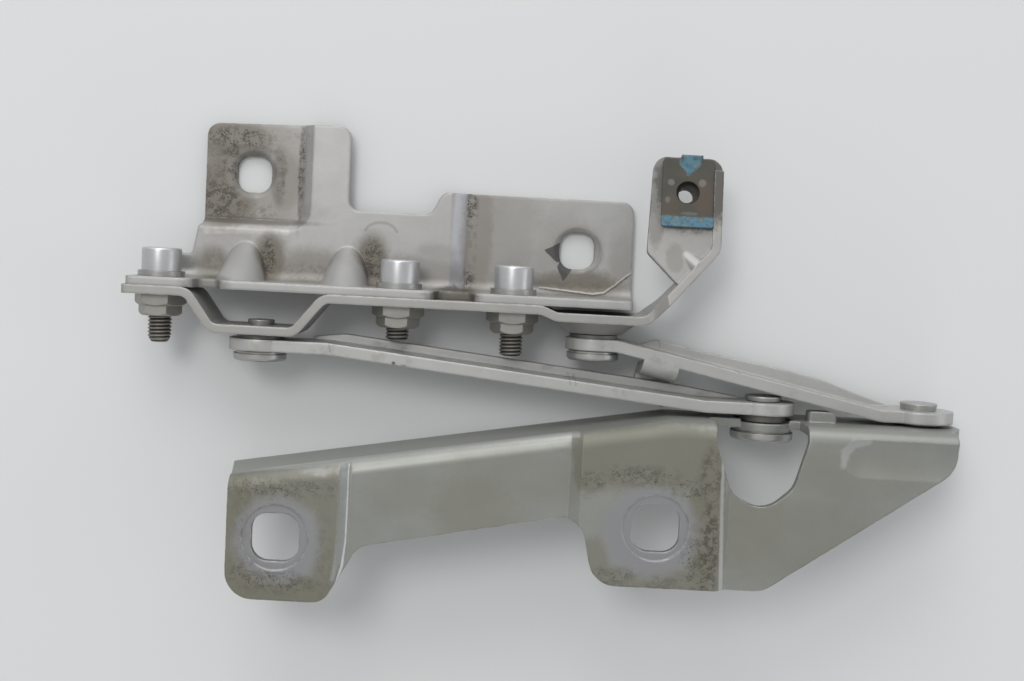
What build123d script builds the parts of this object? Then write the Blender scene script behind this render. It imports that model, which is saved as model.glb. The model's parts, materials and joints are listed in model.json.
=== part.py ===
from build123d import *
import math
import os

# A four-bar bonnet hinge, closed. Millimetres. +X runs along the car towards the rear,
# +Y outboard, +Z up. The origin is the middle of the front hole of the body bracket,
# on the underside of its pad. The pivot axes all run along Y.

# Sheets and sections
body_sheet = 2.9
plate_sheet = 3.0
link_sheet = 4.0
bonnet_sheet = 2.9
clip_sheet = 0.9
sheet_bend = 3.5
running_gap = 0.3
shaft_clearance = 0.05

# How far blanks and cutters run past what they trim, and right off the part
overshoot = 1.0
beyond = 60.0

# Pivot axes, seen from the side
pivot_a_x = 7.5
pivot_b_x = 122.0
pivot_c_x = 181.4
pivot_d_x = 236.2
long_link_z = 18.0
short_link_z = 14.0

# Body bracket
flange_face_y = -37.0
flange_top_z = 29.0
body_rise = 3.5
body_left_x = -16.8
body_right_x = 135.2
body_back_y = 17.8
body_step_y = -3.0
body_mid_y = -11.0
front_pad_right_x = 17.6
front_pad_low_y = -15.8
rear_pad_left_x = 76.3
rear_pad_step = 5.7
pad_slope_angle = 45.0
body_hole_width = 12.2
body_hole_height = 12.8
body_hole_corner = 4.6
body_dish_radius = 8.3
body_dish_floor_radius = 6.4
body_dish_depth = 1.0
rear_hole_x = 115.2
rear_hole_y = -21.1
dart_radius = 7.3
dart_spread = 3.0
dart_reach = 15.8
dart_places = (-1.2, 34.8)
flange_left_x = -36.8
flange_right_x = 133.7
notch_depth = 5.0
notch_spans = ((-14.3, -5.0), (66.7, 80.8))
notch_slant = 1.5
notch_edge = 1.2
notch_round = 2.0
ear_low_z = 8.5
ear_corner = 4.0
flange_corner = 1.5
flange_edge = 1.0
flange_step = 2.0
dart_headroom = 2.0

# Outline of the body bracket's face
body_corner = 4.5
body_inner_corner = 4.0
body_skew = 0.5
shoulder_width = 16.6
neck_width = 29.1
neck_slant = 3.7
ear_root_x = -25.5
ear_root_y = -28.8
ear_root_width = 5.5
ear_root_corner = 1.5
pad_foot_x = -18.2
pad_foot_y = -19.0
pad_foot_rise = 1.4
pad_foot_corner = 2.2

# Pivot plate
plate_left_x = -38.2
plate_low_z = 8.0
plate_pad_drop = 11.9
plate_bend = 3.4
pad_a_left_x = -7.6
pad_a_right_x = 20.3
pad_a_run_left = 8.4
pad_a_run_right = 9.6
plate_step_x = 108.4
plate_step_run = 5.0
plate_step_drop = 2.1
boss_b_depth = 4.0
boss_b_radius = 9.8
boss_b_foot = 14.9
plate_pad_b_low_z = 0.5
arm_foot_x = 138.8
arm_low_z = 18.5
arm_rise_start_x = 141.0
arm_rise_end_x = 147.5
plate_low_corner = 5.0
plate_drop_before = 3.0
plate_drop_after = 4.0
plate_drop_corner = 6.0
arm_foot_corner = 7.0
arm_curve_run = 4.0
arm_curve_drop = 3.0
arm_level_run = 10.0
arm_corner = 4.0

# Tab for the clip nut
tab_hole_x = 150.2
tab_hole_y = 0.2
tab_hole_z = 25.2
rim_corner_below_hole = 18.6
rim_end_above_hole = 8.0
rim_rise = 1.3
tab_tilt = 10.0
tab_width = 24.3
tab_head = 12.1
tab_hole_radius = 5.6
tab_skew = 0.6
tab_corner = 4.6
tab_low_corner = 3.0
tab_right_low = 17.0
tab_left_low = 20.6
tab_foot_right = (7.6, -22.4)
tab_foot_left = (-1.6, -31.6)
tab_foot_corner = 1.2
rim_inset = 0.4
gusset_place = (4.8, -24.9)
gusset_radius = 3.3
gusset_rise = 1.7
gusset_slope = 14.0
gusset_length = 8.0

# Clip nut
clip_width = 17.4
clip_length = 23.4
clip_flare = 4.2
clip_flare_rise = 1.5
clip_flare_bend = 2.0
clip_head = 11.4
clip_tongue_width = 7.0
clip_tongue_shift = 1.2
clip_mouth_radius = 3.9
clip_gap = 0.15
clip_inner_bend = 0.1
clip_head_corner = 1.5
clip_foot_corner = 1.2
clip_fold_run = 2.0
barrel_radius = 5.0
barrel_length = 4.2
thread_bore_radius = 2.7

# Links
link_half_height = 9.0
lobe_radius = 10.6
lobe_b_radius = 9.6
lobe_d_radius = 11.8
long_link_flat_a = 24.3
long_link_flat_c = 21.4
long_lip_width = 2.8
long_lip_start = 17.5
long_lip_full = 28.5
long_lip_taper = 24.0
long_lip_end = 7.4
lip_end_width = 0.4
short_link_flat_b = 8.0
short_link_flat_d = 15.2
short_lip_start = 17.5
short_lip_full = 22.5
short_lip_widening = 40.0
short_lip_width = 3.2
short_lip_wide = 4.4
short_lip_wide_before_d = (46.0, 32.0)
short_lip_narrow_before_d = 20.0
short_lip_narrow = 2.7
short_lip_end = 9.2
lip_round = 4.0
lip_edge = 0.3
link_bend = 6.0
stop_tab_from_b = 23.7
stop_tab_width = 12.4
stop_tab_run = 5.2
stop_tab_lean = 0.5
stop_tab_end_y = -73.4
stop_tab_gap = 0.5
stop_tab_bend = 0.5

# Rivets, bushes and washers at the pivots
shank_radius = 4.0
bush_wall = 1.4
collar_radius = 8.2
small_head_a_radius = 4.7
small_head_a_height = 1.8
small_head_radius = 6.4
small_head_height = 2.4
small_head_c_height = 1.6
small_head_taper = 0.5
small_head_edge = 0.35
large_head_radius = 9.0
large_head_c_radius = 10.7
large_head_d_radius = 10.3
large_head_height = 2.5
large_head_c_height = 2.9
large_head_round = 0.45
head_washer = 0.9
head_washer_c = 0.6
washer_inset = 0.6
collar_a = 1.3
collar_b = 1.4
collar_c = 2.5
collar_d = 0.9
open_pivot_radius = 7.2

# Bonnet bracket
bonnet_top_z = 40.0
bonnet_low_z = 8.0
bonnet_pivot_low_z = 2.6
bonnet_left_x = 3.3
bonnet_right_x = 242.8
bonnet_kink_x = 148.0
bonnet_slope = 0.175
bonnet_bend = 2.2
bonnet_face_y = -75.0
pad_rise = 3.0
bonnet_hole_width = 15.8
bonnet_hole_height = 16.0
bonnet_hole_corner = 5.6
bonnet_coin_radius = 11.0
bonnet_coin_depth = 0.4
front_bonnet_hole = (19.4, -120.0)
rear_bonnet_hole = (144.1, -110.3)
front_pad_edge_x = 43.4
rear_pad_edges_x = (115.2, 168.4)
pad_slope_run = 3.8
bonnet_end_margin = 8.0
notch_floor_z = 24.0
lobe_c_radius = 10.2
lobe_c_depth = 1.0
lug_left_x = 196.2
lug_width = 9.8
lug_height = 6.0
lug_low_z = 17.5
lug_reach = 3.6
lug_edge = 1.2
lug_round = 3.0
valley_radius = 20.0
valley_depth = 1.3
valley_x = 208.4
valley_y = -83.6
valley_run_in = 3.0
valley_zone = (12.0, 4.0)

# Outline of the bonnet bracket's face, seen from above
bonnet_corner = 9.2
bonnet_inner_corner = 7.5
front_pad_length = 40.7
front_pad_width = 32.7
front_pad_corner = 6.5
front_shoulder_run = 10.5
arm_front_width = 22.0
arm_length = 73.0
arm_rear_width = 32.6
rear_shoulder_run = 5.0
rear_pad_length = 55.3
tail_run = 61.8
tail_width = 11.8

# Side outline of the bonnet bracket's flange
flange_left_lean = 5.4
flange_low_corner = 1.2
drop_before_c = (18.0, 8.0)
drop_round = 12.0
tail_reach = 12.4
tail_low_round = 11.0
tail_top_z = 22.0
tail_top_round = 8.0
tail_shoulder_drop = 8.0
tail_shoulder_round = 4.0

# Window in the bonnet bracket's face: its corners from left to right, each given by its run
# from the left side and its depth from the flange
window_left_x = 162.4
window_corners = ((0.0, 6.0), (6.6, 23.6), (17.6, 28.7), (26.9, 20.4), (31.0, 5.0))
window_round = 9.0
window_right_round = 5.0

# Flange bolts, washers and nuts
bolt_places = (-27.4, 54.3, 93.5)
bolt_lengths = (24.1, 19.3, 22.7)
bolt_points = (2.4, 0.8, 0.8)
bolt_z = 18.0
bolt_radius = 4.0
bolt_hole_radius = 4.4
bolt_head_radius = 6.7
bolt_head_height = 7.9
bolt_edge = 0.8
socket_size = 3.2
socket_depth = 4.4
bolt_washer_radius = 7.9
bolt_washer = 1.9
nut_collar_radius = 8.95
nut_collar_edge = 2.9
nut_collar_height = 4.0
nut_corner_radius = 7.5
nut_height = 7.5
nut_end_radius = 6.3
nut_chamfer = 1.2
nut_overlap = 0.2

# Places that follow from the pivots and the tab
rim_x = tab_hole_x + tab_width / 2 - plate_sheet / 2 - rim_inset
rim_corner_y = tab_hole_y - rim_corner_below_hole
rim_end_y = tab_hole_y + rim_end_above_hole
long_link_bend_a_x = pivot_a_x + long_link_flat_a
long_link_bend_c_x = pivot_c_x - long_link_flat_c
short_link_bend_b_x = pivot_b_x + short_link_flat_b
short_link_bend_d_x = pivot_d_x - short_link_flat_d
stop_tab_x = pivot_b_x + stop_tab_from_b

# Layers along Y that follow from the sheets and the gaps
flange_back_y = flange_face_y - body_sheet
plate_face_y = flange_back_y
plate_back_y = plate_face_y - plate_sheet
pad_a_back_y = plate_back_y - plate_pad_drop
boss_b_back_y = plate_back_y - plate_step_drop - boss_b_depth
long_a_face_y = pad_a_back_y - running_gap - collar_a
long_a_back_y = long_a_face_y - link_sheet
short_b_face_y = boss_b_back_y - running_gap - collar_b
short_b_back_y = short_b_face_y - link_sheet
bonnet_back_y = bonnet_face_y - bonnet_sheet
lobe_c_face_y = bonnet_face_y - lobe_c_depth
lobe_c_back_y = lobe_c_face_y - bonnet_sheet
long_c_back_y = lobe_c_face_y + running_gap + collar_c
long_c_face_y = long_c_back_y + link_sheet
short_d_back_y = bonnet_face_y + running_gap + collar_d
short_d_face_y = short_d_back_y + link_sheet
body_face_z = body_rise + body_sheet
bonnet_left_y = bonnet_face_y - bonnet_slope * (bonnet_kink_x - bonnet_left_x)
links_near_y = plate_face_y
links_far_y = bonnet_back_y
tail_x = pivot_d_x + tail_reach
lip_low_long = long_link_z - link_half_height
lip_low_short = short_link_z - link_half_height


def offset_points(points, distance):
    """A polyline's points moved to its left, with mitred corners."""
    places = [Vector(*point) for point in points]
    moved = []
    for index, here in enumerate(places):
        before = places[max(index - 1, 0)]
        after = places[min(index + 1, len(places) - 1)]
        way_in = (here - before).normalized() if index else (after - here).normalized()
        way_out = (after - here).normalized() if index < len(places) - 1 else way_in
        normal_in = Vector(-way_in.Y, way_in.X)
        normal_out = Vector(-way_out.Y, way_out.X)
        mitre = (normal_in + normal_out) / (1 + normal_in.dot(normal_out))
        moved.append(here + mitre * distance)
    return moved


def bent_strip(points, thickness, bend):
    """Section of a sheet bent along the polyline of its middle, with round bends."""
    left = offset_points(points, thickness / 2)
    right = offset_points(points, -thickness / 2)
    left_radii = []
    right_radii = []
    for index in range(1, len(points) - 1):
        way_in = Vector(*points[index]) - Vector(*points[index - 1])
        way_out = Vector(*points[index + 1]) - Vector(*points[index])
        turns_left = way_in.X * way_out.Y - way_in.Y * way_out.X > 0
        left_radii.append(bend if turns_left else bend + thickness)
        right_radii.append(bend + thickness if turns_left else bend)
    edges = FilletPolyline(*left, radius=left_radii).edges()
    edges += FilletPolyline(*right, radius=right_radii).edges()
    edges += [Edge.make_line(left[0], right[0]), Edge.make_line(left[-1], right[-1])]
    return make_face(edges)


def rounded_outline(corners):
    """Closed outline with a round at each corner, from x, y and radius."""
    points = [(x, y) for x, y, radius in corners]
    radii = [radius for x, y, radius in corners]
    return make_face(FilletPolyline(*points, radius=radii, close=True).edges())


def rise_z(face, low, high):
    """Solid over a plan outline, from one height to another."""
    return extrude(Pos(0, 0, low) * face, high - low)


def rise_y(face, near, far):
    """Solid through a side outline drawn in x and z, from near down to far along Y."""
    return extrude(Pos(0, near, 0) * (Plane.XZ * face), near - far)


def run_x(face, start, end):
    """Solid along X through a section drawn in y and z."""
    return extrude(Pos(start, 0, 0) * (Plane.YZ * face), end - start)


def round_y(x, z, radius, near, far):
    """Round bar along Y."""
    return Pos(x, (near + far) / 2, z) * Rot(90, 0, 0) * Cylinder(radius, near - far)


def box_between(low, high):
    """Box from its lowest corner to its highest."""
    size = [b - a for a, b in zip(low, high)]
    middle = [(a + b) / 2 for a, b in zip(low, high)]
    return Pos(*middle) * Box(*size)


def square_hole(place, width, height, corner, low, high):
    """Cutter for a square hole with round corners."""
    hole = Pos(place[0], place[1], 0) * RectangleRounded(width, height, corner)
    return rise_z(hole, low, high)


def save(shape, name):
    """Write one node."""
    export_step(shape, "parts/" + name + ".step")


def body_section(face_z):
    """Section of the body bracket: a face that turns up into its flange."""
    middle_z = face_z + body_sheet / 2
    middle_y = flange_face_y - body_sheet / 2
    points = [(body_back_y + overshoot, middle_z), (middle_y, middle_z), (middle_y, flange_top_z)]
    return bent_strip(points, body_sheet, sheet_bend)


def body_outline():
    """Plan of the body bracket's face."""
    low_y = flange_back_y - overshoot
    neck_left_x = front_pad_right_x + shoulder_width
    neck_right_x = neck_left_x + neck_width
    return rounded_outline([
        (body_left_x, body_back_y - body_skew, body_corner),
        (neck_left_x, body_back_y + body_skew, body_corner),
        (neck_left_x, body_mid_y, body_inner_corner),
        (neck_right_x, body_mid_y, body_inner_corner),
        (neck_right_x + neck_slant, body_step_y, body_inner_corner),
        (body_right_x - body_skew, body_step_y, body_corner),
        (body_right_x, low_y, 0),
        (ear_root_x, low_y, 0),
        (ear_root_x, ear_root_y, ear_root_corner),
        (ear_root_x + ear_root_width, ear_root_y, ear_root_corner),
        (pad_foot_x, pad_foot_y, pad_foot_corner),
        (body_left_x, pad_foot_y + pad_foot_rise, pad_foot_corner),
    ])


def flange_outline():
    """Side outline of the body bracket's upright flange and what is below it."""
    notch_z = flange_top_z - notch_depth
    corners = [
        (flange_left_x, flange_top_z, flange_corner),
        (flange_left_x, ear_low_z, ear_corner),
        (ear_root_x, ear_low_z, flange_edge),
        (ear_root_x, -overshoot, 0),
        (body_right_x + overshoot, -overshoot, 0),
        (body_right_x + overshoot, ear_low_z, flange_edge),
        (flange_right_x, ear_low_z + flange_step, flange_edge),
        (flange_right_x, flange_top_z, flange_corner),
    ]
    for left_x, right_x in reversed(notch_spans):
        corners += [
            (right_x, flange_top_z, notch_edge),
            (right_x - notch_slant, notch_z, notch_round),
            (left_x + notch_slant, notch_z, notch_round),
            (left_x, flange_top_z, notch_edge),
        ]
    return rounded_outline(corners)


def dart_bar(place, radius):
    """Slanting cone that presses a stiffening dart into the bend, wider at the flange."""
    corner_y = flange_face_y + dart_reach / 2
    corner_z = body_face_z + dart_reach / 2
    inset = dart_radius * math.sqrt(0.5)
    bar = Cone(radius - dart_spread, radius + dart_spread, 2 * dart_reach)
    return Pos(place, corner_y - inset, corner_z - inset) * Rot(45, 0, 0) * bar


def body_bracket():
    """Stamped angle bracket with two recessed pads, two darts and a bolted flange."""
    joggle_x = rear_pad_left_x - rear_pad_step
    main_section = body_section(body_rise)
    rear_section = body_section(0)
    joggle_ends = [
        Pos(joggle_x, 0, 0) * (Plane.YZ * main_section),
        Pos(rear_pad_left_x, 0, 0) * (Plane.YZ * rear_section),
    ]
    bracket = run_x(main_section, flange_left_x - overshoot, joggle_x)
    bracket += loft(joggle_ends)
    bracket += run_x(rear_section, rear_pad_left_x, body_right_x + overshoot)
    # The front pad is pressed down: a plug below the face, and a pocket above it.
    under = body_sheet * math.tan(math.radians(pad_slope_angle / 2))
    plug = rounded_outline([
        (-beyond, beyond, 0),
        (-beyond, front_pad_low_y - under, 0),
        (front_pad_right_x + under, front_pad_low_y - under, body_inner_corner),
        (front_pad_right_x + under, beyond, 0),
    ])
    pocket = rounded_outline([
        (-beyond, beyond, 0),
        (-beyond, front_pad_low_y, 0),
        (front_pad_right_x, front_pad_low_y, body_inner_corner),
        (front_pad_right_x, beyond, 0),
    ])
    outline = rise_z(body_outline(), -overshoot, flange_top_z + overshoot)
    raised_plug = extrude(plug, body_rise + overshoot / 2, taper=-pad_slope_angle)
    bracket += raised_plug & outline
    pressed = extrude(pocket, body_rise + overshoot, taper=-pad_slope_angle)
    bracket -= Pos(0, 0, body_sheet) * pressed
    for place in dart_places:
        inside = box_between(
            (place - beyond, flange_face_y - body_sheet / 2, body_face_z - body_sheet / 2),
            (place + beyond, 0, flange_top_z - dart_headroom),
        )
        bracket += dart_bar(place, dart_radius) & inside
        bracket -= dart_bar(place, dart_radius - body_sheet)
    ears = box_between(
        (flange_left_x - overshoot, flange_back_y - overshoot, 0),
        (body_right_x, flange_face_y, flange_top_z),
    )
    bracket &= outline + ears
    near_y = body_back_y + body_skew + overshoot
    bracket &= rise_y(flange_outline(), near_y, flange_back_y - overshoot)
    holes = ((0, 0), (rear_hole_x, rear_hole_y))
    for hole in holes:
        dish = Cone(body_dish_floor_radius, body_dish_radius, body_dish_depth)
        bracket -= Pos(hole[0], hole[1], body_sheet - body_dish_depth / 2) * dish
        bracket -= square_hole(
            hole, body_hole_width, body_hole_height, body_hole_corner,
            -overshoot, body_sheet + overshoot)
    for place in bolt_places:
        bracket -= round_y(
            place, bolt_z, bolt_hole_radius,
            flange_face_y + overshoot, flange_back_y - overshoot)
    return bracket


def plate_path():
    """Middle line of the pivot plate in plan, with its offset pad and its arm."""
    level = plate_face_y - plate_sheet / 2
    pad = level - plate_pad_drop
    stepped = level - plate_step_drop
    return [
        (plate_left_x, level),
        (pad_a_left_x - pad_a_run_left, level),
        (pad_a_left_x, pad),
        (pad_a_right_x, pad),
        (pad_a_right_x + pad_a_run_right, level),
        (plate_step_x - plate_step_run, level),
        (plate_step_x, stepped),
        (arm_foot_x, stepped),
        (rim_x, rim_corner_y),
        (rim_x, rim_end_y),
    ]


def plate_outline():
    """Side outline of the pivot plate."""
    arm_top_z = flange_top_z + 2 * plate_sheet
    return rounded_outline([
        (plate_left_x, flange_top_z, flange_corner),
        (plate_left_x, plate_low_z, plate_low_corner),
        (plate_step_x - plate_drop_before, plate_low_z, plate_low_corner),
        (plate_step_x + plate_drop_after, plate_pad_b_low_z, plate_drop_corner),
        (arm_foot_x, plate_pad_b_low_z, arm_foot_corner),
        (arm_foot_x + arm_curve_run, arm_low_z - arm_curve_drop, plate_drop_corner),
        (arm_foot_x + arm_level_run, arm_low_z, arm_corner),
        (rim_x + plate_sheet, arm_low_z, 0),
        (rim_x + plate_sheet, arm_top_z, 0),
        (arm_rise_end_x, arm_top_z, arm_corner),
        (arm_rise_start_x, flange_top_z, arm_corner),
    ])


def tab_place():
    """Where the tilted tab's own axes stand: the hole's middle on its top face."""
    return Pos(tab_hole_x, tab_hole_y, tab_hole_z) * Rot(-tab_tilt, 0, 0)


def tab_outline():
    """Plan of the tab, from the middle of its hole."""
    half = tab_width / 2
    return rounded_outline([
        (tab_skew - half, tab_head, tab_corner),
        (half - tab_skew, tab_head, tab_corner),
        (half - tab_skew, -tab_right_low, tab_low_corner),
        (*tab_foot_right, tab_foot_corner),
        (*tab_foot_left, tab_foot_corner),
        (-half - tab_skew, -tab_left_low, tab_low_corner),
    ])


def gusset():
    """Stiffening bump in the corner between the tab and the arm, square to the arm."""
    stepped = plate_back_y - plate_step_drop + plate_sheet / 2
    along = math.degrees(math.atan2(rim_corner_y - stepped, rim_x - arm_foot_x))
    bar = Cylinder(gusset_radius, gusset_length, align=(Align.CENTER, Align.CENTER, Align.MIN))
    bar = Rot(0, 0, along + 90) * Rot(0, 90 + gusset_slope, 0) * bar
    bar = Pos(*gusset_place, gusset_rise - gusset_radius) * bar
    return bar & box_between(
        (-tab_width, -2 * tab_width, -plate_sheet / 2), (tab_width, tab_head, plate_sheet))


def pivot_plate():
    """Bent plate that carries both lower pivots, with an arm and a tilted, rimmed tab."""
    strip = bent_strip(plate_path(), plate_sheet, plate_bend)
    plate = rise_z(strip, 0, flange_top_z + 2 * plate_sheet)
    plate &= rise_y(plate_outline(), rim_end_y + overshoot, pad_a_back_y - overshoot)
    # Beside the tab, the strip is only a low rim that follows the tab's tilt.
    over_tab = box_between((-beyond, -beyond, rim_rise), (beyond, beyond, beyond))
    plate -= tab_place() * over_tab
    under_rim = box_between(
        (0, overshoot - rim_corner_below_hole, -beyond), (beyond, beyond, -plate_sheet))
    plate -= tab_place() * under_rim
    stepped_back = plate_back_y - plate_step_drop
    boss_tilt = math.degrees(math.atan((boss_b_foot - boss_b_radius) / boss_b_depth))
    foot = Plane.XZ * Circle(boss_b_foot)
    boss = Pos(pivot_b_x, stepped_back, short_link_z) * extrude(
        foot, boss_b_depth, taper=boss_tilt)
    hollow_foot = Plane.XZ * Circle(boss_b_foot - plate_sheet / 2)
    hollow = Pos(pivot_b_x, stepped_back + plate_sheet, short_link_z) * extrude(
        hollow_foot, boss_b_depth, taper=boss_tilt)
    below_top = box_between(
        (plate_left_x, boss_b_back_y - overshoot, plate_pad_b_low_z),
        (rim_x, 0, flange_top_z),
    )
    plate += boss & below_top
    plate -= hollow
    tab = tab_place() * rise_z(tab_outline(), -plate_sheet, 0)
    plate += tab
    plate += tab_place() * gusset()
    plate -= tab_place() * Cylinder(tab_hole_radius, 4 * plate_sheet)
    for place in bolt_places:
        plate -= round_y(
            place, bolt_z, bolt_hole_radius,
            plate_face_y + overshoot, plate_back_y - overshoot)
    pivots = (
        (pivot_a_x, long_link_z, pad_a_back_y),
        (pivot_b_x, short_link_z, boss_b_back_y),
    )
    for x, z, back_y in pivots:
        plate -= round_y(x, z, shank_radius, plate_face_y, back_y - overshoot)
    return plate


def link_outline(start, end, start_radius, end_radius):
    """Side outline of a link: a bar with a round lobe at each end."""
    length = end[0] - start[0]
    bar = Pos((start[0] + end[0]) / 2, start[1], 0) * Rectangle(length, 2 * link_half_height)
    lobes = Pos(*start) * Circle(start_radius) + Pos(*end) * Circle(end_radius)
    return bar + lobes


def long_link_path():
    """Middle line of the long link in plan."""
    half = link_sheet / 2
    return [
        (pivot_a_x - lobe_radius - overshoot, long_a_face_y - half),
        (long_link_bend_a_x, long_a_face_y - half),
        (long_link_bend_c_x, long_c_face_y - half),
        (pivot_c_x + lobe_radius + overshoot, long_c_face_y - half),
    ]


def short_link_path():
    """Middle line of the short link in plan."""
    half = link_sheet / 2
    return [
        (pivot_b_x - lobe_radius - overshoot, short_b_face_y - half),
        (short_link_bend_b_x, short_b_face_y - half),
        (short_link_bend_d_x, short_d_face_y - half),
        (pivot_d_x + lobe_d_radius + overshoot, short_d_face_y - half),
    ]


def lip(path, stations):
    """Plan of a link's lower lip, from its width beyond the web's face at each station."""
    first = Vector(*path[1])
    last = Vector(*path[2])
    slope = (last.Y - first.Y) / (last.X - first.X)
    web = [first.Y + slope * (min(x, last.X) - first.X) for x, width in stations]
    rim = [
        (x, y + link_sheet / 2 + width)
        for (x, width), y in zip(stations, web)
    ]
    start = (stations[0][0], web[0])
    end = (stations[-1][0], web[-1])
    corners = [(*start, 0), (*rim[0], lip_edge)]
    corners += [(*point, lip_round) for point in rim[1:-1]]
    corners += [(*rim[-1], lip_edge), (*end, 0)]
    return rounded_outline(corners)


def long_lip_stations():
    """Where the long link's lip starts, is full, narrows and ends."""
    return (
        (pivot_a_x + long_lip_start, lip_end_width),
        (pivot_a_x + long_lip_full, long_lip_width),
        (pivot_c_x - long_lip_end - long_lip_taper, long_lip_width),
        (pivot_c_x - long_lip_end, lip_end_width),
    )


def short_lip_stations():
    """Where the short link's lip starts, widens, narrows and ends."""
    return (
        (pivot_b_x + short_lip_start, lip_end_width),
        (pivot_b_x + short_lip_full, short_lip_width),
        (pivot_b_x + short_lip_widening, short_lip_width),
        (pivot_d_x - short_lip_wide_before_d[0], short_lip_wide),
        (pivot_d_x - short_lip_wide_before_d[1], short_lip_wide),
        (pivot_d_x - short_lip_narrow_before_d, short_lip_narrow),
        (pivot_d_x - short_lip_end, lip_end_width),
    )


def long_link():
    """Long flat link with a short lip along its lower edge."""
    path = long_link_path()
    start = (pivot_a_x, long_link_z)
    end = (pivot_c_x, long_link_z)
    link = rise_z(bent_strip(path, link_sheet, link_bend), 0, 2 * long_link_z)
    outline = link_outline(start, end, lobe_radius, lobe_radius)
    link &= rise_y(outline, links_near_y, links_far_y)
    lip_plan = lip(path, long_lip_stations())
    link += rise_z(lip_plan, lip_low_long, lip_low_long + link_sheet)
    bush_radius = shank_radius + shaft_clearance + bush_wall
    for place in (pivot_a_x, pivot_c_x):
        link -= round_y(place, long_link_z, bush_radius, links_near_y, links_far_y)
    return link


def stop_tab(path):
    """Tab folded over from the short link, down and under the long link's lower edge."""
    first = Vector(*path[1])
    last = Vector(*path[2])
    slope = (last.Y - first.Y) / (last.X - first.X)
    web_y = first.Y + slope * (stop_tab_x - first.X)
    half = link_sheet / 2
    top_z = short_link_z + link_half_height - half
    under_z = lip_low_long - stop_tab_gap - half
    section = bent_strip([
        (0, short_link_z),
        (0, top_z),
        (-stop_tab_run, top_z),
        (-stop_tab_run - stop_tab_lean, under_z),
        (stop_tab_end_y - web_y, under_z),
    ], link_sheet, stop_tab_bend)
    tab = run_x(section, -stop_tab_width / 2, stop_tab_width / 2)
    turn = math.degrees(math.atan(slope))
    return Pos(stop_tab_x, web_y, 0) * Rot(0, 0, turn) * tab


def short_link():
    """Short link with a wide lower lip and the stop tab."""
    path = short_link_path()
    start = (pivot_b_x, short_link_z)
    end = (pivot_d_x, short_link_z)
    link = rise_z(bent_strip(path, link_sheet, link_bend), 0, 2 * short_link_z)
    outline = link_outline(start, end, lobe_b_radius, lobe_d_radius)
    link &= rise_y(outline, links_near_y, links_far_y)
    lip_plan = lip(path, short_lip_stations())
    link += rise_z(lip_plan, lip_low_short, lip_low_short + link_sheet)
    link += stop_tab(path)
    bush_radius = shank_radius + shaft_clearance + bush_wall
    link -= round_y(pivot_b_x, short_link_z, bush_radius, links_near_y, links_far_y)
    link -= round_y(pivot_d_x, short_link_z, shank_radius, links_near_y, links_far_y)
    return link


def bonnet_outline():
    """Plan of the bonnet bracket's face."""
    front_low_y = bonnet_left_y - front_pad_length
    front_right_x = bonnet_left_x + front_pad_width
    arm_start_x = front_right_x + front_shoulder_run
    arm_end_x = arm_start_x + arm_length
    rear_low_y = bonnet_face_y - rear_pad_length
    edge_y = bonnet_face_y + overshoot
    return rounded_outline([
        (bonnet_left_x, bonnet_left_y + overshoot, 0),
        (bonnet_left_x, front_low_y, bonnet_corner),
        (front_right_x, front_low_y, front_pad_corner),
        (arm_start_x, bonnet_left_y - arm_front_width, bonnet_inner_corner),
        (arm_end_x, bonnet_face_y - arm_rear_width, bonnet_inner_corner),
        (arm_end_x + rear_shoulder_run, rear_low_y, bonnet_corner),
        (bonnet_right_x - tail_run, rear_low_y, bonnet_corner),
        (bonnet_right_x, bonnet_face_y - tail_width, bonnet_corner),
        (bonnet_right_x, edge_y, 0),
        (bonnet_kink_x, edge_y, 0),
    ])


def bonnet_side_outline():
    """Side outline of the bonnet bracket."""
    top_z = bonnet_top_z + pad_rise + overshoot
    drop_start, drop_end = drop_before_c
    return rounded_outline([
        (bonnet_left_x, top_z, 0),
        (bonnet_left_x, bonnet_top_z - bonnet_sheet, 0),
        (bonnet_left_x - flange_left_lean, bonnet_low_z, flange_low_corner),
        (pivot_c_x - drop_start, bonnet_low_z, drop_round),
        (pivot_c_x - drop_end, bonnet_pivot_low_z, drop_round),
        (tail_x, bonnet_pivot_low_z, tail_low_round),
        (tail_x, tail_top_z, tail_top_round),
        (bonnet_right_x, bonnet_top_z - tail_shoulder_drop, tail_shoulder_round),
        (bonnet_right_x, top_z, 0),
    ])


def bonnet_run(start, end):
    """Stretch of the bonnet bracket between two stations, each an x and a top z."""
    half = bonnet_sheet / 2
    far = rear_pad_length + bonnet_slope * bonnet_kink_x
    (start_x, start_z), (end_x, end_z) = start, end
    start_y = bonnet_face_y - bonnet_slope * max(bonnet_kink_x - start_x, 0)
    end_y = bonnet_face_y - bonnet_slope * max(bonnet_kink_x - end_x, 0)
    section = bent_strip([
        (start_y - far, start_z - half),
        (start_y - half, start_z - half),
        (start_y - half, -bonnet_sheet),
    ], bonnet_sheet, bonnet_bend)
    way = Vector(end_x - start_x, end_y - start_y, end_z - start_z)
    return extrude(Pos(start_x, 0, 0) * (Plane.YZ * section), way.length, dir=way)


def valley_shape(radius):
    """Long round-bottomed bar with a ball end, for the shallow pressed valley."""
    length = 3 * valley_radius
    height = bonnet_top_z + valley_radius - valley_depth
    bar = Pos(length / 2, 0, 0) * Rot(0, 90, 0) * Cylinder(radius, length)
    return Pos(valley_x + valley_run_in, valley_y, height) * (bar + Sphere(radius))


def notch_outline():
    """D-shaped window in the bonnet bracket's face, open over pivot C."""
    rounds = [window_round] * (len(window_corners) - 1) + [window_right_round]
    places = [
        (window_left_x + run, bonnet_face_y - depth, radius)
        for (run, depth), radius in zip(window_corners, rounds)
    ]
    open_y = bonnet_face_y + beyond
    left_end = (places[0][0], open_y, 0)
    right_end = (places[-1][0], open_y, 0)
    return rounded_outline([left_end] + places + [right_end])


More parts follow.
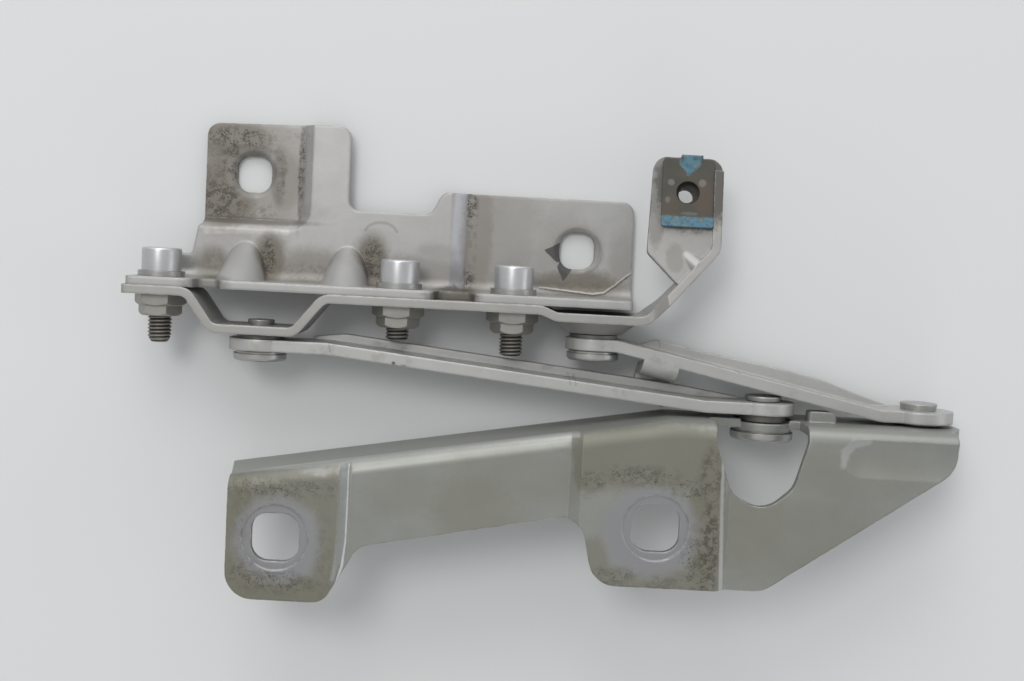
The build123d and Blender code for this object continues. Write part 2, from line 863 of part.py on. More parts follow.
def flange_plan(right_x):
    """Plan of the zone that holds the bonnet bracket's flange and its bend."""
    depth = bonnet_sheet + bonnet_bend
    left_x = bonnet_left_x - bonnet_end_margin
    left_y = bonnet_left_y - bonnet_slope * bonnet_end_margin
    return rounded_outline([
        (left_x, left_y + overshoot, 0),
        (left_x, left_y - depth, 0),
        (bonnet_kink_x, bonnet_face_y - depth, 0),
        (right_x, bonnet_face_y - depth, 0),
        (right_x, bonnet_face_y + overshoot, 0),
        (bonnet_kink_x, bonnet_face_y + overshoot, 0),
    ])


def stop_lug():
    """Short lug on the bonnet bracket's flange, rounded at its rear corner."""
    right_x = lug_left_x + lug_width
    root_y = bonnet_face_y - bonnet_sheet / 2
    side = rounded_outline([
        (lug_left_x, lug_low_z, lug_edge),
        (right_x, lug_low_z, lug_edge),
        (right_x, lug_low_z + lug_height, lug_edge),
        (lug_left_x, lug_low_z + lug_height, lug_edge),
    ])
    plan = rounded_outline([
        (lug_left_x, root_y, 0),
        (lug_left_x, bonnet_face_y + lug_reach, lug_edge),
        (right_x, bonnet_face_y + lug_reach, lug_round),
        (right_x, root_y, 0),
    ])
    lug = rise_y(side, bonnet_face_y + lug_reach, root_y)
    return lug & rise_z(plan, lug_low_z, lug_low_z + lug_height)


def bonnet_bracket():
    """Stamped angle bracket with a down-turned flange, raised pads and a window."""
    right_x = tail_x + overshoot
    raised_z = bonnet_top_z + pad_rise
    stations = (
        (bonnet_left_x - bonnet_end_margin, raised_z),
        (front_pad_edge_x - pad_slope_run, raised_z),
        (front_pad_edge_x, bonnet_top_z),
        (rear_pad_edges_x[0], bonnet_top_z),
        (rear_pad_edges_x[0] + pad_slope_run, raised_z),
        (bonnet_kink_x, raised_z),
        (rear_pad_edges_x[1] - pad_slope_run, raised_z),
        (rear_pad_edges_x[1], bonnet_top_z),
        (right_x, bonnet_top_z),
    )
    bracket = Part()
    for start, end in zip(stations, stations[1:]):
        bracket += bonnet_run(start, end)
    low_z = bonnet_top_z - bonnet_sheet - bonnet_bend
    outline = rise_z(bonnet_outline(), low_z, raised_z + overshoot)
    flange_zone = rise_z(flange_plan(right_x), 0, raised_z + overshoot)
    bracket &= outline + flange_zone
    low_y = bonnet_face_y - rear_pad_length - beyond
    bracket &= rise_y(bonnet_side_outline(), bonnet_face_y + overshoot, low_y)
    zone_low, zone_high = valley_zone
    below_face = box_between(
        (valley_x - beyond, valley_y - zone_low, low_z),
        (pivot_d_x, valley_y + zone_high, bonnet_top_z - bonnet_sheet / 2))
    bracket += valley_shape(valley_radius + bonnet_sheet) & below_face & outline
    bracket -= valley_shape(valley_radius)
    bracket -= rise_z(notch_outline(), notch_floor_z, bonnet_top_z + beyond)
    near_y = bonnet_face_y + overshoot
    bracket -= round_y(pivot_c_x, long_link_z, lobe_c_radius, near_y, lobe_c_face_y)
    bracket += round_y(pivot_c_x, long_link_z, lobe_c_radius, lobe_c_face_y, lobe_c_back_y)
    places = (front_bonnet_hole, rear_bonnet_hole)
    for place in places:
        coin_z = raised_z - bonnet_coin_depth
        bracket -= rise_z(Pos(*place) * Circle(bonnet_coin_radius), coin_z, raised_z + overshoot)
        bracket -= square_hole(
            place, bonnet_hole_width, bonnet_hole_height, bonnet_hole_corner,
            bonnet_low_z, raised_z + overshoot)
    bracket += stop_lug()
    far_y = lobe_c_back_y - overshoot
    bracket -= round_y(pivot_c_x, long_link_z, shank_radius, near_y, far_y)
    bracket -= round_y(pivot_d_x, short_link_z, open_pivot_radius, near_y, far_y)
    return bracket


def outer_rim(head, way):
    """Outer round edge of a head that stands towards +Y (way 1) or -Y (way -1)."""
    rims = head.edges().filter_by(GeomType.CIRCLE).sort_by(Axis.Y)
    return rims[-1] if way > 0 else rims[0]


def rivet(x, z, small, large, small_seat_y, large_seat_y):
    """Pivot rivet: a shank between a small head outboard and a large head inboard.

    Each head is given as its radius and height; the small one is narrower at its seat.
    """
    small_radius, small_height = small
    large_radius, large_height = large
    shank = round_y(x, z, shank_radius, small_seat_y, large_seat_y)
    head = Cone(small_radius - small_head_taper, small_radius, small_height)
    head = Pos(x, small_seat_y + small_height / 2, z) * Rot(-90, 0, 0) * head
    head = fillet(outer_rim(head, 1), small_head_edge)
    flat = round_y(x, z, large_radius, large_seat_y, large_seat_y - large_height)
    flat = fillet(outer_rim(flat, -1), large_head_round * large_height)
    return shank + head + flat


def collar_bush(x, z, collar_near_y, collar_far_y, sleeve_end_y):
    """Flanged bush: a sleeve in the link's hole with a collar beside the link."""
    outer = shank_radius + shaft_clearance + bush_wall
    near = max(collar_near_y, collar_far_y, sleeve_end_y)
    far = min(collar_near_y, collar_far_y, sleeve_end_y)
    bush = round_y(x, z, outer, near, far)
    bush += round_y(x, z, collar_radius, collar_near_y, collar_far_y)
    bore = shank_radius + shaft_clearance
    return bush - round_y(x, z, bore, near + overshoot, far - overshoot)


def flat_washer(x, z, radius, near, far, bore):
    """Plain washer along Y."""
    hole = round_y(x, z, bore, near + overshoot, far - overshoot)
    return round_y(x, z, radius, near, far) - hole


def flange_bolt(place, length, point):
    """Socket-head bolt that passes through both sheets, head outboard."""
    seat = flange_face_y + bolt_washer
    end = plate_back_y - length + nut_height
    head = round_y(place, bolt_z, bolt_head_radius, seat + bolt_head_height, seat)
    head = fillet(head.edges().filter_by(GeomType.CIRCLE).sort_by(Axis.Y)[-1], bolt_edge)
    shaft = round_y(place, bolt_z, bolt_radius, seat, end)
    tip = shaft.edges().filter_by(GeomType.CIRCLE).sort_by(Axis.Y)[0]
    shaft = chamfer(tip, point)
    socket = Plane.XZ * RegularPolygon(socket_size, 6)
    head -= Pos(place, seat + bolt_head_height, bolt_z) * extrude(socket, socket_depth)
    return head + shaft


def flange_nut(place):
    """Hexagon nut whose lower part is wider, with a chamfered outer end."""
    end_y = plate_back_y - nut_height
    edge_y = plate_back_y - nut_collar_edge
    slope_height = nut_collar_height - nut_collar_edge
    slope = Cone(nut_corner_radius, nut_collar_radius + nut_overlap, slope_height)
    slope_y = edge_y - slope_height / 2
    collar = Plane.XZ * RegularPolygon(nut_collar_radius, 6)
    collar_bar = Pos(place, plate_back_y, bolt_z) * extrude(collar, nut_collar_height)
    envelope = round_y(place, bolt_z, nut_collar_radius + nut_overlap, plate_back_y, edge_y)
    envelope += Pos(place, slope_y, bolt_z) * Rot(-90, 0, 0) * slope
    nut = collar_bar & envelope
    hexagon = Plane.XZ * RegularPolygon(nut_corner_radius, 6)
    hexagon_bar = Pos(place, edge_y, bolt_z) * extrude(hexagon, nut_height - nut_collar_edge)
    envelope = round_y(
        place, bolt_z, nut_corner_radius + nut_overlap, edge_y, end_y + nut_chamfer)
    tip = Cone(nut_end_radius, nut_corner_radius + nut_overlap, nut_chamfer)
    envelope += Pos(place, end_y + nut_chamfer / 2, bolt_z) * Rot(-90, 0, 0) * tip
    nut += hexagon_bar & envelope
    return nut - round_y(
        place, bolt_z, bolt_radius, plate_back_y + overshoot, end_y - overshoot)


def clip_body():
    """Spring clip: a front leaf, a back leaf and a tongue round the tab's head."""
    half = clip_width / 2
    back = -plate_sheet
    end = clip_head - clip_length
    leaf = rounded_outline([
        (-half, clip_head, clip_head_corner),
        (half, clip_head, clip_head_corner),
        (half, end, clip_foot_corner),
        (-half, end, clip_foot_corner),
    ])
    fold_start = clip_head - clip_fold_run
    fold_y = tab_head + clip_gap + clip_sheet / 2
    section = bent_strip([
        (fold_start, clip_sheet / 2),
        (fold_y, clip_sheet / 2),
        (fold_y, back - clip_sheet / 2),
        (fold_start, back - clip_sheet / 2),
    ], clip_sheet, clip_inner_bend)
    front = bent_strip([
        (clip_head, clip_sheet / 2),
        (end + clip_flare, clip_sheet / 2),
        (end, clip_sheet / 2 + clip_flare_rise),
    ], clip_sheet, clip_flare_bend)
    clip = run_x(front, -half, half) & rise_z(leaf, -overshoot, clip_flare_rise + overshoot)
    clip += rise_z(leaf, back - clip_sheet, back)
    tongue_start = clip_tongue_shift - clip_tongue_width / 2
    clip += run_x(section, tongue_start, tongue_start + clip_tongue_width)
    clip -= Cylinder(clip_mouth_radius, 4 * plate_sheet)
    return tab_place() * clip


def clip_barrel():
    """Threaded barrel riveted in the clip's back leaf."""
    top = -plate_sheet
    neck = Pos(0, 0, top - clip_sheet / 2) * Cylinder(clip_mouth_radius, clip_sheet)
    low = top - clip_sheet - barrel_length
    body = Pos(0, 0, low + barrel_length / 2) * Cylinder(barrel_radius, barrel_length)
    barrel = neck + body - Cylinder(thread_bore_radius, 4 * barrel_length)
    return tab_place() * barrel


def pivot_hardware():
    """Rivet, bush and washer of each pivot, written as nodes."""
    head_a = long_a_back_y - running_gap
    head_b = short_b_back_y - running_gap
    head_c = lobe_c_back_y - head_washer_c
    head_d = bonnet_back_y - running_gap
    small = (small_head_radius, small_head_height)
    small_a = (small_head_a_radius, small_head_a_height)
    small_c = (small_head_radius, small_head_c_height)
    large = (large_head_radius, large_head_height)
    large_c = (large_head_c_radius, large_head_c_height)
    large_d = (large_head_d_radius, large_head_height)
    save(rivet(pivot_a_x, long_link_z, small_a, large,
               pad_a_back_y + plate_sheet, head_a - head_washer), "pivot_rivet_a")
    save(rivet(pivot_b_x, short_link_z, small, large,
               boss_b_back_y + plate_sheet, head_b - head_washer), "pivot_rivet_b")
    save(rivet(pivot_c_x, long_link_z, small_c, large_c,
               long_c_face_y + running_gap, head_c), "pivot_rivet_c")
    save(rivet(pivot_d_x, short_link_z, small, large_d,
               short_d_face_y, head_d - head_washer), "pivot_rivet_d")
    save(collar_bush(pivot_a_x, long_link_z, long_a_face_y + collar_a,
                     long_a_face_y, long_a_back_y), "pivot_bush_a")
    save(collar_bush(pivot_b_x, short_link_z, short_b_face_y + collar_b,
                     short_b_face_y, short_b_back_y), "pivot_bush_b")
    save(collar_bush(pivot_c_x, long_link_z, long_c_back_y,
                     long_c_back_y - collar_c, long_c_face_y), "pivot_bush_c")
    save(flat_washer(pivot_d_x, short_link_z, collar_radius, short_d_back_y,
                     short_d_back_y - collar_d, shank_radius), "pivot_spacer_d")
    save(flat_washer(pivot_a_x, long_link_z, large_head_radius - washer_inset, head_a,
                     head_a - head_washer, shank_radius), "pivot_washer_a")
    save(flat_washer(pivot_b_x, short_link_z, large_head_radius - washer_inset, head_b,
                     head_b - head_washer, shank_radius), "pivot_washer_b")
    save(flat_washer(pivot_c_x, long_link_z, large_head_c_radius - 2 * washer_inset, lobe_c_back_y,
                     head_c, shank_radius), "pivot_washer_c")
    save(flat_washer(pivot_d_x, short_link_z, large_head_d_radius - washer_inset, head_d,
                     head_d - head_washer, shank_radius), "pivot_washer_d")


def bolt_hardware():
    """The three bolts with their washers and nuts, written as nodes."""
    for index, place in enumerate(bolt_places):
        number = str(index + 1)
        save(flange_bolt(place, bolt_lengths[index], bolt_points[index]),
             "flange_bolt_" + number)
        save(flat_washer(place, bolt_z, bolt_washer_radius, flange_face_y + bolt_washer,
                         flange_face_y, bolt_radius), "bolt_washer_" + number)
        save(flange_nut(place), "flange_nut_" + number)


os.makedirs("parts", exist_ok=True)
save(body_bracket(), "body_bracket")
save(pivot_plate(), "pivot_plate")
save(long_link(), "long_link")
save(short_link(), "short_link")
save(bonnet_bracket(), "bonnet_bracket")
save(clip_body(), "clip_nut_body")
save(clip_barrel(), "clip_nut_barrel")
pivot_hardware()
bolt_hardware()
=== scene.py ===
import json
import math

import bpy
import numpy as np
from mathutils import Matrix, Vector


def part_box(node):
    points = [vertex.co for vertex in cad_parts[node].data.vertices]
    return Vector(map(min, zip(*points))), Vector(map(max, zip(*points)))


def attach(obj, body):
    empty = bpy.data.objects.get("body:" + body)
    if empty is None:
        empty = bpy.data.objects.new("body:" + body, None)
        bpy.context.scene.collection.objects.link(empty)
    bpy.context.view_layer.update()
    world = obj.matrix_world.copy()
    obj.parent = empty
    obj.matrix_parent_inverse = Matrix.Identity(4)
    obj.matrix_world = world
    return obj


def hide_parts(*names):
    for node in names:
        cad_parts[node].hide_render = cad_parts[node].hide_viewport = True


bl_info = {
    "name": "Bonnet hinge looks",
    "version": (1, 0, 0),
    "blender": (4, 5, 0),
    "location": "3D View > Sidebar > Hinge",
    "description": "Dresses the bonnet hinge with worn paint, threaded bolts, stage, light and camera",
    "category": "Object",
}

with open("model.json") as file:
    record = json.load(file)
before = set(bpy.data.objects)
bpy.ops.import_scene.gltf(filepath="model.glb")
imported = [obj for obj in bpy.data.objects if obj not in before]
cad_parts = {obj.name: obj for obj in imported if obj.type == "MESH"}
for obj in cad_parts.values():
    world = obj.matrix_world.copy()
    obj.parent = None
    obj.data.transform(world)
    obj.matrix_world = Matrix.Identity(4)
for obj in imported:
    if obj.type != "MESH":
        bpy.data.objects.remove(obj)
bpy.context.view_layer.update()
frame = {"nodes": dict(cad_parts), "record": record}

MM = 0.001
TURN = 2.0 * math.pi

# Names of the values stored on the bolts' vertices
GROOVE = "groove"
THREAD = "thread"

# Noises: size in millimetres, detail and roughness
SPOT_NOISE = (2.2, 5.0, 0.65)
GRAIN_NOISE = (0.7, 3.0, 0.6)
CLUMP_NOISE = (2.4, 3.0, 0.6)
STREAK_NOISE = (1.3, 4.0, 0.6)
EDGE_NOISE = (3.0, 4.0, 0.6)
BLOTCH_NOISE = (2.2, 5.0, 0.7)
LINK_NOISE = (9.0, 5.0, 0.6)
CLIP_NOISE = (1.6, 5.0, 0.7)

# The same for noises whose size is an input: detail and roughness
CLOUD_NOISE = (5.0, 0.55)
DOT_NOISE = (3.0, 0.65)

# A noise's middle value, and the clouds' share in a mottled tone; the grain has the rest
NOISE_MIDDLE = 0.5
CLOUD_SHARE = 0.75

# Values at which a mask starts and at which it is full
CLUMP_RANGE = (0.36, 0.62)
REGION_RANGE = (0.0, 0.12)
EDGE_TURN = (0.99, 0.86)
EDGE_BREAKS = (0.36, 0.6)
BLOTCH_RANGE = (0.44, 0.6)
LINK_CLOUDS = (0.52, 0.68)
CLIP_WEAR = (0.4, 0.64)
GRAIN_RANGE = (0.3, 0.7)

# Mottle of each paint and metal: size of the clouds in millimetres, and amount
BODY_MOTTLE = (11.0, 0.42)
PLATE_MOTTLE = (12.0, 0.4)
LINK_MOTTLE = (14.0, 0.38)
BONNET_MOTTLE = (13.0, 0.38)
CLIP_MOTTLE = (5.0, 0.8)
METAL_MOTTLE = 0.4

# Speckle: size of a dot in millimetres, the noise value where dots are rare, how far a dense
# region lowers it, the dots' edge, and how dense they are in the links' clouds
DOT_SIZE = 0.55
DOT_RARE = 0.72
DOT_RANGE = 0.27
DOT_EDGE = 0.06
LINK_DOTS = 0.35

# Streaks are seen from above; patches reach this far up and down, in millimetres
PLAN = (1.0, 1.0, 0.0)
PATCH_DEPTH = 3.2
TAB_DEPTH = 12.0
NOTCH_DEPTH = 24.0

# Borders of patches: how ragged they are, and how far they fade as a share of the patch
DOTTED = (1.2, 0.9)
HAZY = (1.0, 1.5)
SHADED = (0.6, 1.2)
CLOUDY = (1.0, 0.8)
SMEARED = (1.0, 0.9)
RUSTY = (1.2, 0.8)
CRISP = (0.8, 0.5)
RING_RAGGED = 0.3

# The bright wall: how far the way to it turns to +Y where it starts and where it is full
WINDOW_RANGE = (0.55, 0.97)

# Pale wear and painted highlight reach this far in from a sheet's edge, and small pieces' edges
# have this round; both in metres, as is the depth of the grain
WEAR_AND_HIGHLIGHT_REACH = 0.0006
METAL_ROUND = 0.0003
GRAIN_DEPTH = 0.00003

# Rays that look for an edge, where it is pale from wear and painted highlight and where it is rounded
WEAR_AND_HIGHLIGHT_RAYS = 6
ROUND_RAYS = 4

# Finish of the paints: roughness where clean and where dirty, how metallic, and grain
PAINT_ROUGH = 0.42
LINK_ROUGH = 0.4
DIRTY_ROUGH = 0.62
BODY_METAL = 0.45
SHEET_METAL = 0.5
PAINT_GRAIN = 0.25

# Small pieces: colour, roughness, how metallic, and size of the clouds in millimetres
METALS = {
    "rivet_steel": ((0.36, 0.36, 0.35), 0.36, 0.7, 4.0),
    "bush_metal": ((0.15, 0.142, 0.128), 0.42, 0.6, 4.0),
    "washer_steel": ((0.34, 0.34, 0.33), 0.34, 0.7, 5.0),
    "bolt_zinc": ((0.48, 0.485, 0.49), 0.32, 0.7, 6.0),
    "nut_zinc": ((0.285, 0.278, 0.256), 0.42, 0.6, 5.0),
}

# Their grain, how far it takes the roughness down and up, and the bolts' own roughness
METAL_GRAIN = 0.12
SMOOTHER = -0.05
ROUGHER = 0.08
HEAD_ROUGH = 0.34
THREAD_ROUGH = 0.5

# The clip: colour, how metallic, roughness, grain, and the blue left where it is worn
CLIP_TONE = (0.048, 0.047, 0.037)
CLIP_METAL = 0.15
CLIP_ROUGH = 0.58
CLIP_GRAIN = 0.3
CLIP_WORN = 0.15

# Coats: colour and how much it covers
# Pale edges: partly wear, partly painted highlight
EDGE_WEAR_AND_HIGHLIGHT_COAT = ((0.62, 0.62, 0.6), 0.55)
# Painted highlight on the body bracket's ridge
RIDGE_HIGHLIGHT_COAT = ((0.54, 0.55, 0.6), 0.6)
# Painted highlight on the folds and slopes of the pressed steps
PRESS_HIGHLIGHT_COAT = ((0.52, 0.52, 0.51), 0.6)
WASHER_COAT = ((0.24, 0.235, 0.22), 0.35)
NOTCH_COAT = ((0.07, 0.065, 0.044), 0.85)
# Painted highlight beside the crack
CRACK_HIGHLIGHT_COAT = ((0.62, 0.62, 0.6), 0.5)
PEEL_COAT = ((0.075, 0.075, 0.075), 0.95)
# Painted shade on the plate's tab
TAB_SHADE_COAT = ((0.088, 0.082, 0.074), 0.92)
# Painted light on the bonnet bracket's front slope
SLOPE_LIGHT_COAT = ((0.3, 0.322, 0.318), 0.6)
# Painted highlight on the valley's crescent
VALLEY_HIGHLIGHT_COAT = ((0.44, 0.45, 0.44), 0.42)
# Painted highlight on the bend and the rear step
BEND_HIGHLIGHT_COAT = ((0.5, 0.51, 0.5), 0.58)
# Painted highlight on the front step
STEP_HIGHLIGHT_COAT = ((0.6, 0.62, 0.64), 0.75)
THREAD_COAT = ((0.25, 0.24, 0.215), 1.0)
# Painted shade in the threads' grooves
GROOVE_SHADE_COAT = ((0.02, 0.018, 0.015), 1.0)
RUST_COAT = ((0.09, 0.062, 0.04), 0.7)
BLUE_COAT = ((0.042, 0.15, 0.225), 0.95)
SCUFF_COAT = ((0.115, 0.17, 0.165), 0.45)
PALE_COAT = ((0.22, 0.23, 0.22), 0.5)

# How much the tones from the settings cover
ARCH_COVER = 0.35
HAZE_AND_SHADE_COVER = 0.78
BLOTCH_COVER = 0.7
SHADE_COVER = 0.6
RIM_SHADE_COVER = 0.42
SPECK_COVER = 0.75
CRACK_COVER = 0.7
CLOUD_COVER = 0.22
LINK_SPECK_COVER = 0.6
CREASE_SHADE_COVER = 0.3
NICK_COVER = 0.8
OLIVE_COVER = 0.8
RING_COVER = 0.8
SMEAR_COVER = 0.72
DOT_COVER = 0.65

# How strong the painted highlight on the pads' slope and the dots' smears are beside the marks that
# they join
PAD_SLOPE_HIGHLIGHT_SHARE = 0.6
DOT_SMEAR_SHARE = 0.55

# Heights of the marks in millimetres: on the body bracket's pads and face, on the bonnet
# bracket's pads, face and flange, on the clip, on the links, and in the body flange's notches
BODY_PAD_Z = 2.9
BODY_FACE_Z = 6.4
BONNET_PAD_Z = 43.0
BONNET_FACE_Z = 40.0
FLANGE_Z = 34.0
CLIP_Z = 26.0
LINK_Z = 25.0
NOTCH_Z = 24.0

# The bonnet bracket's marks fade out over this height above its flange, in millimetres
FLANGE_FADE = 2.0

# Rings about holes: middle, height, radius and how far the ring fades
WASHER_RINGS = (
    ((0.0, 0.0), BODY_PAD_Z, 8.6, 0.25),
    ((115.2, -21.1), BODY_PAD_Z, 8.8, 0.15),
)
BONNET_RINGS = (
    ((20.2, -120.8), BONNET_PAD_Z, 11.6, 0.45),
    ((142.6, -111.6), BONNET_PAD_Z, 12.4, 0.45),
)

# Marks as seen in the photo: x, y, half width, half length in millimetres, and strength
PAD_SPECKLES = (
    (-5.8, 12.4, 7.5, 2.4, 1.0),
    (-13.2, 1.4, 2.5, 8.0, 0.45),
    (-7.9, 3.0, 2.2, 7.0, 0.95),
    (-11.5, -9.5, 5.0, 5.0, 0.95),
    (-3.0, -13.0, 8.0, 2.2, 0.55),
    (0.0, 8.6, 7.0, 1.5, 0.55),
    (16.8, 3.0, 0.8, 9.5, 1.0),
    (9.4, -0.5, 1.5, 6.0, 0.6),
    (5.5, 14.2, 9.0, 1.4, 0.35),
)
PAD_HAZE = (
    (-3.0, 0.0, 13.0, 15.0, 0.5),
    (-8.0, 11.0, 9.0, 5.0, 0.85),
    (-10.0, -7.0, 7.0, 9.0, 0.95),
    (10.0, 11.0, 7.0, 4.0, 0.35),
    (11.0, -2.0, 4.0, 7.0, 0.65),
    (2.0, -12.5, 14.0, 3.0, 0.4),
)
PAD_SHADE = (
    (0.0, -16.4, 17.0, 0.8, 1.0),
    (16.7, -1.0, 0.6, 13.0, 0.7),
    (-3.0, 7.6, 6.0, 1.6, 0.7),
    (8.6, 0.0, 1.4, 6.0, 0.55),
)
FACE_SPECKLES = (
    (6.6, -29.5, 1.8, 5.0, 1.0),
    (43.4, -28.6, 2.4, 5.5, 1.0),
    (-12.0, -31.0, 2.2, 4.0, 0.35),
    (23.0, -33.5, 9.0, 2.2, 0.35),
)
# Brown haze on the face, and painted shade in the same brown on the darts' shaded sides
FACE_HAZE_AND_SHADE = (
    (7.4, -30.0, 3.4, 5.5, 1.0),
    (-0.5, -34.0, 2.5, 2.5, 0.6),
    (33.0, -33.0, 3.0, 3.5, 0.7),
    (22.0, -32.0, 9.0, 4.0, 0.6),
    (43.0, -30.0, 3.6, 6.0, 1.0),
    (-12.5, -33.0, 3.5, 4.0, 0.7),
    (58.0, -31.5, 12.0, 3.5, 0.45),
    (66.0, -24.0, 4.0, 1.6, 0.3),
)
REAR_SPECKLES = (
    (77.4, -7.5, 1.2, 5.5, 0.95),
    (77.8, -20.0, 1.0, 12.0, 0.35),
    (77.4, -34.0, 1.4, 3.5, 0.9),
    (118.0, -34.0, 12.0, 1.2, 0.35),
)
REAR_HAZE = (
    (80.0, -17.0, 3.5, 17.0, 0.65),
    (88.0, -15.0, 8.0, 12.0, 0.4),
    (92.0, -33.5, 14.0, 3.0, 0.45),
    (116.0, -32.6, 9.0, 3.0, 0.95),
    (110.0, -24.0, 7.0, 9.0, 0.3),
    (131.0, -24.0, 2.5, 6.0, 0.35),
)
# Darker patches in the body flange's notches
NOTCH_DARKENING = (
    (-9.7, -38.4, 5.5, 2.0, 0.55),
    (73.3, -39.0, 6.4, 3.0, 1.0),
)
LINK_NICKS = (
    (54.3, -62.0, 0.5, 0.45, 1.0),
    (57.8, -62.6, 0.9, 0.3, 0.5),
    (172.0, -59.2, 0.4, 0.5, 0.6),
)
FRONT_OLIVE = (
    (19.4, -104.5, 18.0, 5.5, 0.75),
    (7.0, -112.0, 4.0, 12.0, 1.0),
    (8.0, -132.0, 6.5, 7.0, 1.0),
    (23.0, -137.5, 16.0, 4.0, 1.0),
    (37.0, -120.0, 4.0, 18.0, 0.8),
)
REAR_OLIVE = (
    (141.0, -86.0, 23.0, 9.0, 0.85),
    (122.0, -92.0, 5.0, 6.0, 0.9),
    (160.5, -105.0, 4.5, 20.0, 1.0),
    (144.0, -128.0, 18.0, 3.5, 0.75),
    (124.0, -124.0, 4.0, 7.0, 0.7),
)
FACE_OLIVE = (
    (176.0, -108.0, 8.0, 10.0, 0.5),
    (84.0, -107.0, 9.0, 7.0, 0.5),
    (98.0, -96.0, 14.0, 5.0, 0.3),
    (60.0, -104.0, 7.0, 4.0, 0.25),
    (205.0, -90.0, 14.0, 5.0, 0.35),
    (192.0, -112.0, 16.0, 8.0, 0.45),
)
FRONT_DOTS = (
    (19.0, -103.4, 16.0, 2.2, 0.8),
    (8.0, -113.0, 1.8, 10.0, 0.35),
    (20.0, -134.5, 10.0, 2.6, 0.85),
    (36.0, -127.0, 1.6, 9.0, 0.45),
    (9.0, -131.5, 3.0, 3.0, 0.75),
)
REAR_DOTS = (
    (124.3, -95.4, 4.5, 2.0, 0.85),
    (137.9, -93.4, 8.0, 2.2, 0.95),
    (154.5, -96.8, 5.0, 2.2, 0.9),
    (130.0, -127.0, 6.0, 2.0, 0.8),
    (158.5, -122.0, 3.5, 7.0, 0.85),
)
REAR_SMEAR = (
    (162.0, -118.0, 2.4, 14.0, 1.0),
    (161.5, -92.0, 2.6, 7.0, 0.8),
    (146.0, -129.0, 14.0, 2.0, 0.4),
)
CLIP_RUST = (
    (155.4, -1.0, 2.6, 4.5, 0.7),
    (144.6, -5.0, 2.0, 3.0, 0.5),
    (152.0, 6.5, 4.0, 1.4, 0.4),
)
CLIP_PALE = (
    (144.4, 3.6, 0.9, 0.9, 0.8),
    (154.9, 3.8, 1.0, 1.0, 0.8),
    (143.4, -2.4, 0.7, 0.8, 0.6),
    (150.8, -6.6, 2.5, 0.5, 0.5),
)
# Painted shade on the plate's tab round the clip nut
TAB_SHADE = (
    (152.4, 3.0, 11.6, 12.0, 1.0),
    (141.0, 3.0, 3.4, 11.0, 0.62),
    (140.0, -6.0, 2.4, 10.0, 0.45),
    (146.8, -21.7, 2.5, 4.0, 0.3),
)

# Strokes: points, half width at each point, soft border and raggedness, all in millimetres
# Painted highlight: a pale bluish stripe down the ridge between the body's face and rear pad, where
# its slope faces the side light
RIDGE_HIGHLIGHT = (((73.6, -4.0), (73.0, -36.0)), (1.6, 2.0), 1.4, 0.4)
# Painted highlights: a pale band along the fold below the front pad, and along the pad's right slope
FOLD_HIGHLIGHT = (((-15.1, -20.6), (-1.1, -19.4), (13.0, -19.7)), (0.5, 0.9, 0.4), 1.2, 0.6)
PAD_SLOPE_HIGHLIGHT = (((18.9, 15.5), (19.3, -1.1), (19.4, -11.5)), (0.8, 0.8, 0.6), 1.0, 0.6)
FIRST_PEEL = (((103.9, -21.4), (108.4, -21.9)), (0.1, 3.3), 0.25, 1.0)
SECOND_PEEL = (((110.9, -31.6), (111.2, -27.4)), (0.1, 2.6), 0.25, 1.0)
# Painted highlight: a bright line along the rear step's edge
REAR_STEP_HIGHLIGHT = (((165.0, -88.0), (165.6, -106.0), (167.2, -134.0)), (0.1, 0.3, 0.4), 0.7, 0.6)
# Painted highlight: a thin bright line along the front step's edge
FRONT_STEP_HIGHLIGHT = (
    ((42.4, -95.0), (42.5, -104.7), (42.4, -120.4), (41.6, -128.9), (40.0, -134.2)),
    (0.02, 0.04, 0.08, 0.3, 0.1), 0.28, 0.3,
)
# Painted light: a paler band on the slope beside the front step, over the shade that falls there
FRONT_SLOPE_LIGHT = (
    ((40.9, -96.0), (41.2, -104.7), (41.0, -120.4), (40.2, -127.0), (38.8, -133.0)),
    (0.5, 0.8, 0.8, 0.5, 0.1), 1.1, 0.7,
)
# Painted highlight: a bright band along the bonnet bracket's bend
BEND_HIGHLIGHT = (
    ((4.5, -99.1), (23.0, -96.5), (41.0, -93.5), (59.0, -90.3), (85.2, -85.9), (117.2, -81.3)),
    (0.2, 0.5, 0.8, 0.8, 0.8, 0.3), 0.9, 0.5,
)
# Painted highlight: a pale crescent at the left end of the raised valley
VALLEY_HIGHLIGHT = (
    ((204.9, -86.9), (205.5, -82.3), (208.1, -79.6), (213.1, -78.7)),
    (0.3, 1.0, 0.9, 0.2), 1.3, 0.8,
)
CLIP_BAND = (((140.8, -10.3), (158.9, -10.5)), (2.5, 2.6), 0.3, 1.0)
CLIP_TONGUE = (((150.7, 14.5), (150.6, 11.0), (150.2, 6.6)), (3.6, 3.4, 0.4), 0.5, 1.6)

# The links' creases, drawn as lines of painted shade, and the body bracket's crack: points, then what
# their strokes share
LINK_CREASES = (
    ((32.2, -56.6), (32.8, -59.2)),
    ((113.9, -63.4), (114.3, -66.0)),
    ((115.8, -63.7), (116.2, -66.2)),
    ((145.2, -50.6), (145.9, -53.2)),
)
CREASE_SHADE_LINE = ((0.1, 0.1), 0.3, 0.3)
CRACK = (
    (102.8, -35.0), (110.0, -35.5), (117.1, -36.1), (121.6, -36.4),
    (125.6, -35.7), (129.3, -33.0), (131.7, -30.8), (134.7, -28.4),
)
CRACK_WIDTH = 0.12
CRACK_LINE = (0.35, 0.8)

# The painted highlight along the crack's lifted side lies this far from it, in millimetres
CRACK_HIGHLIGHT_OFFSET = (-0.2, 0.5)

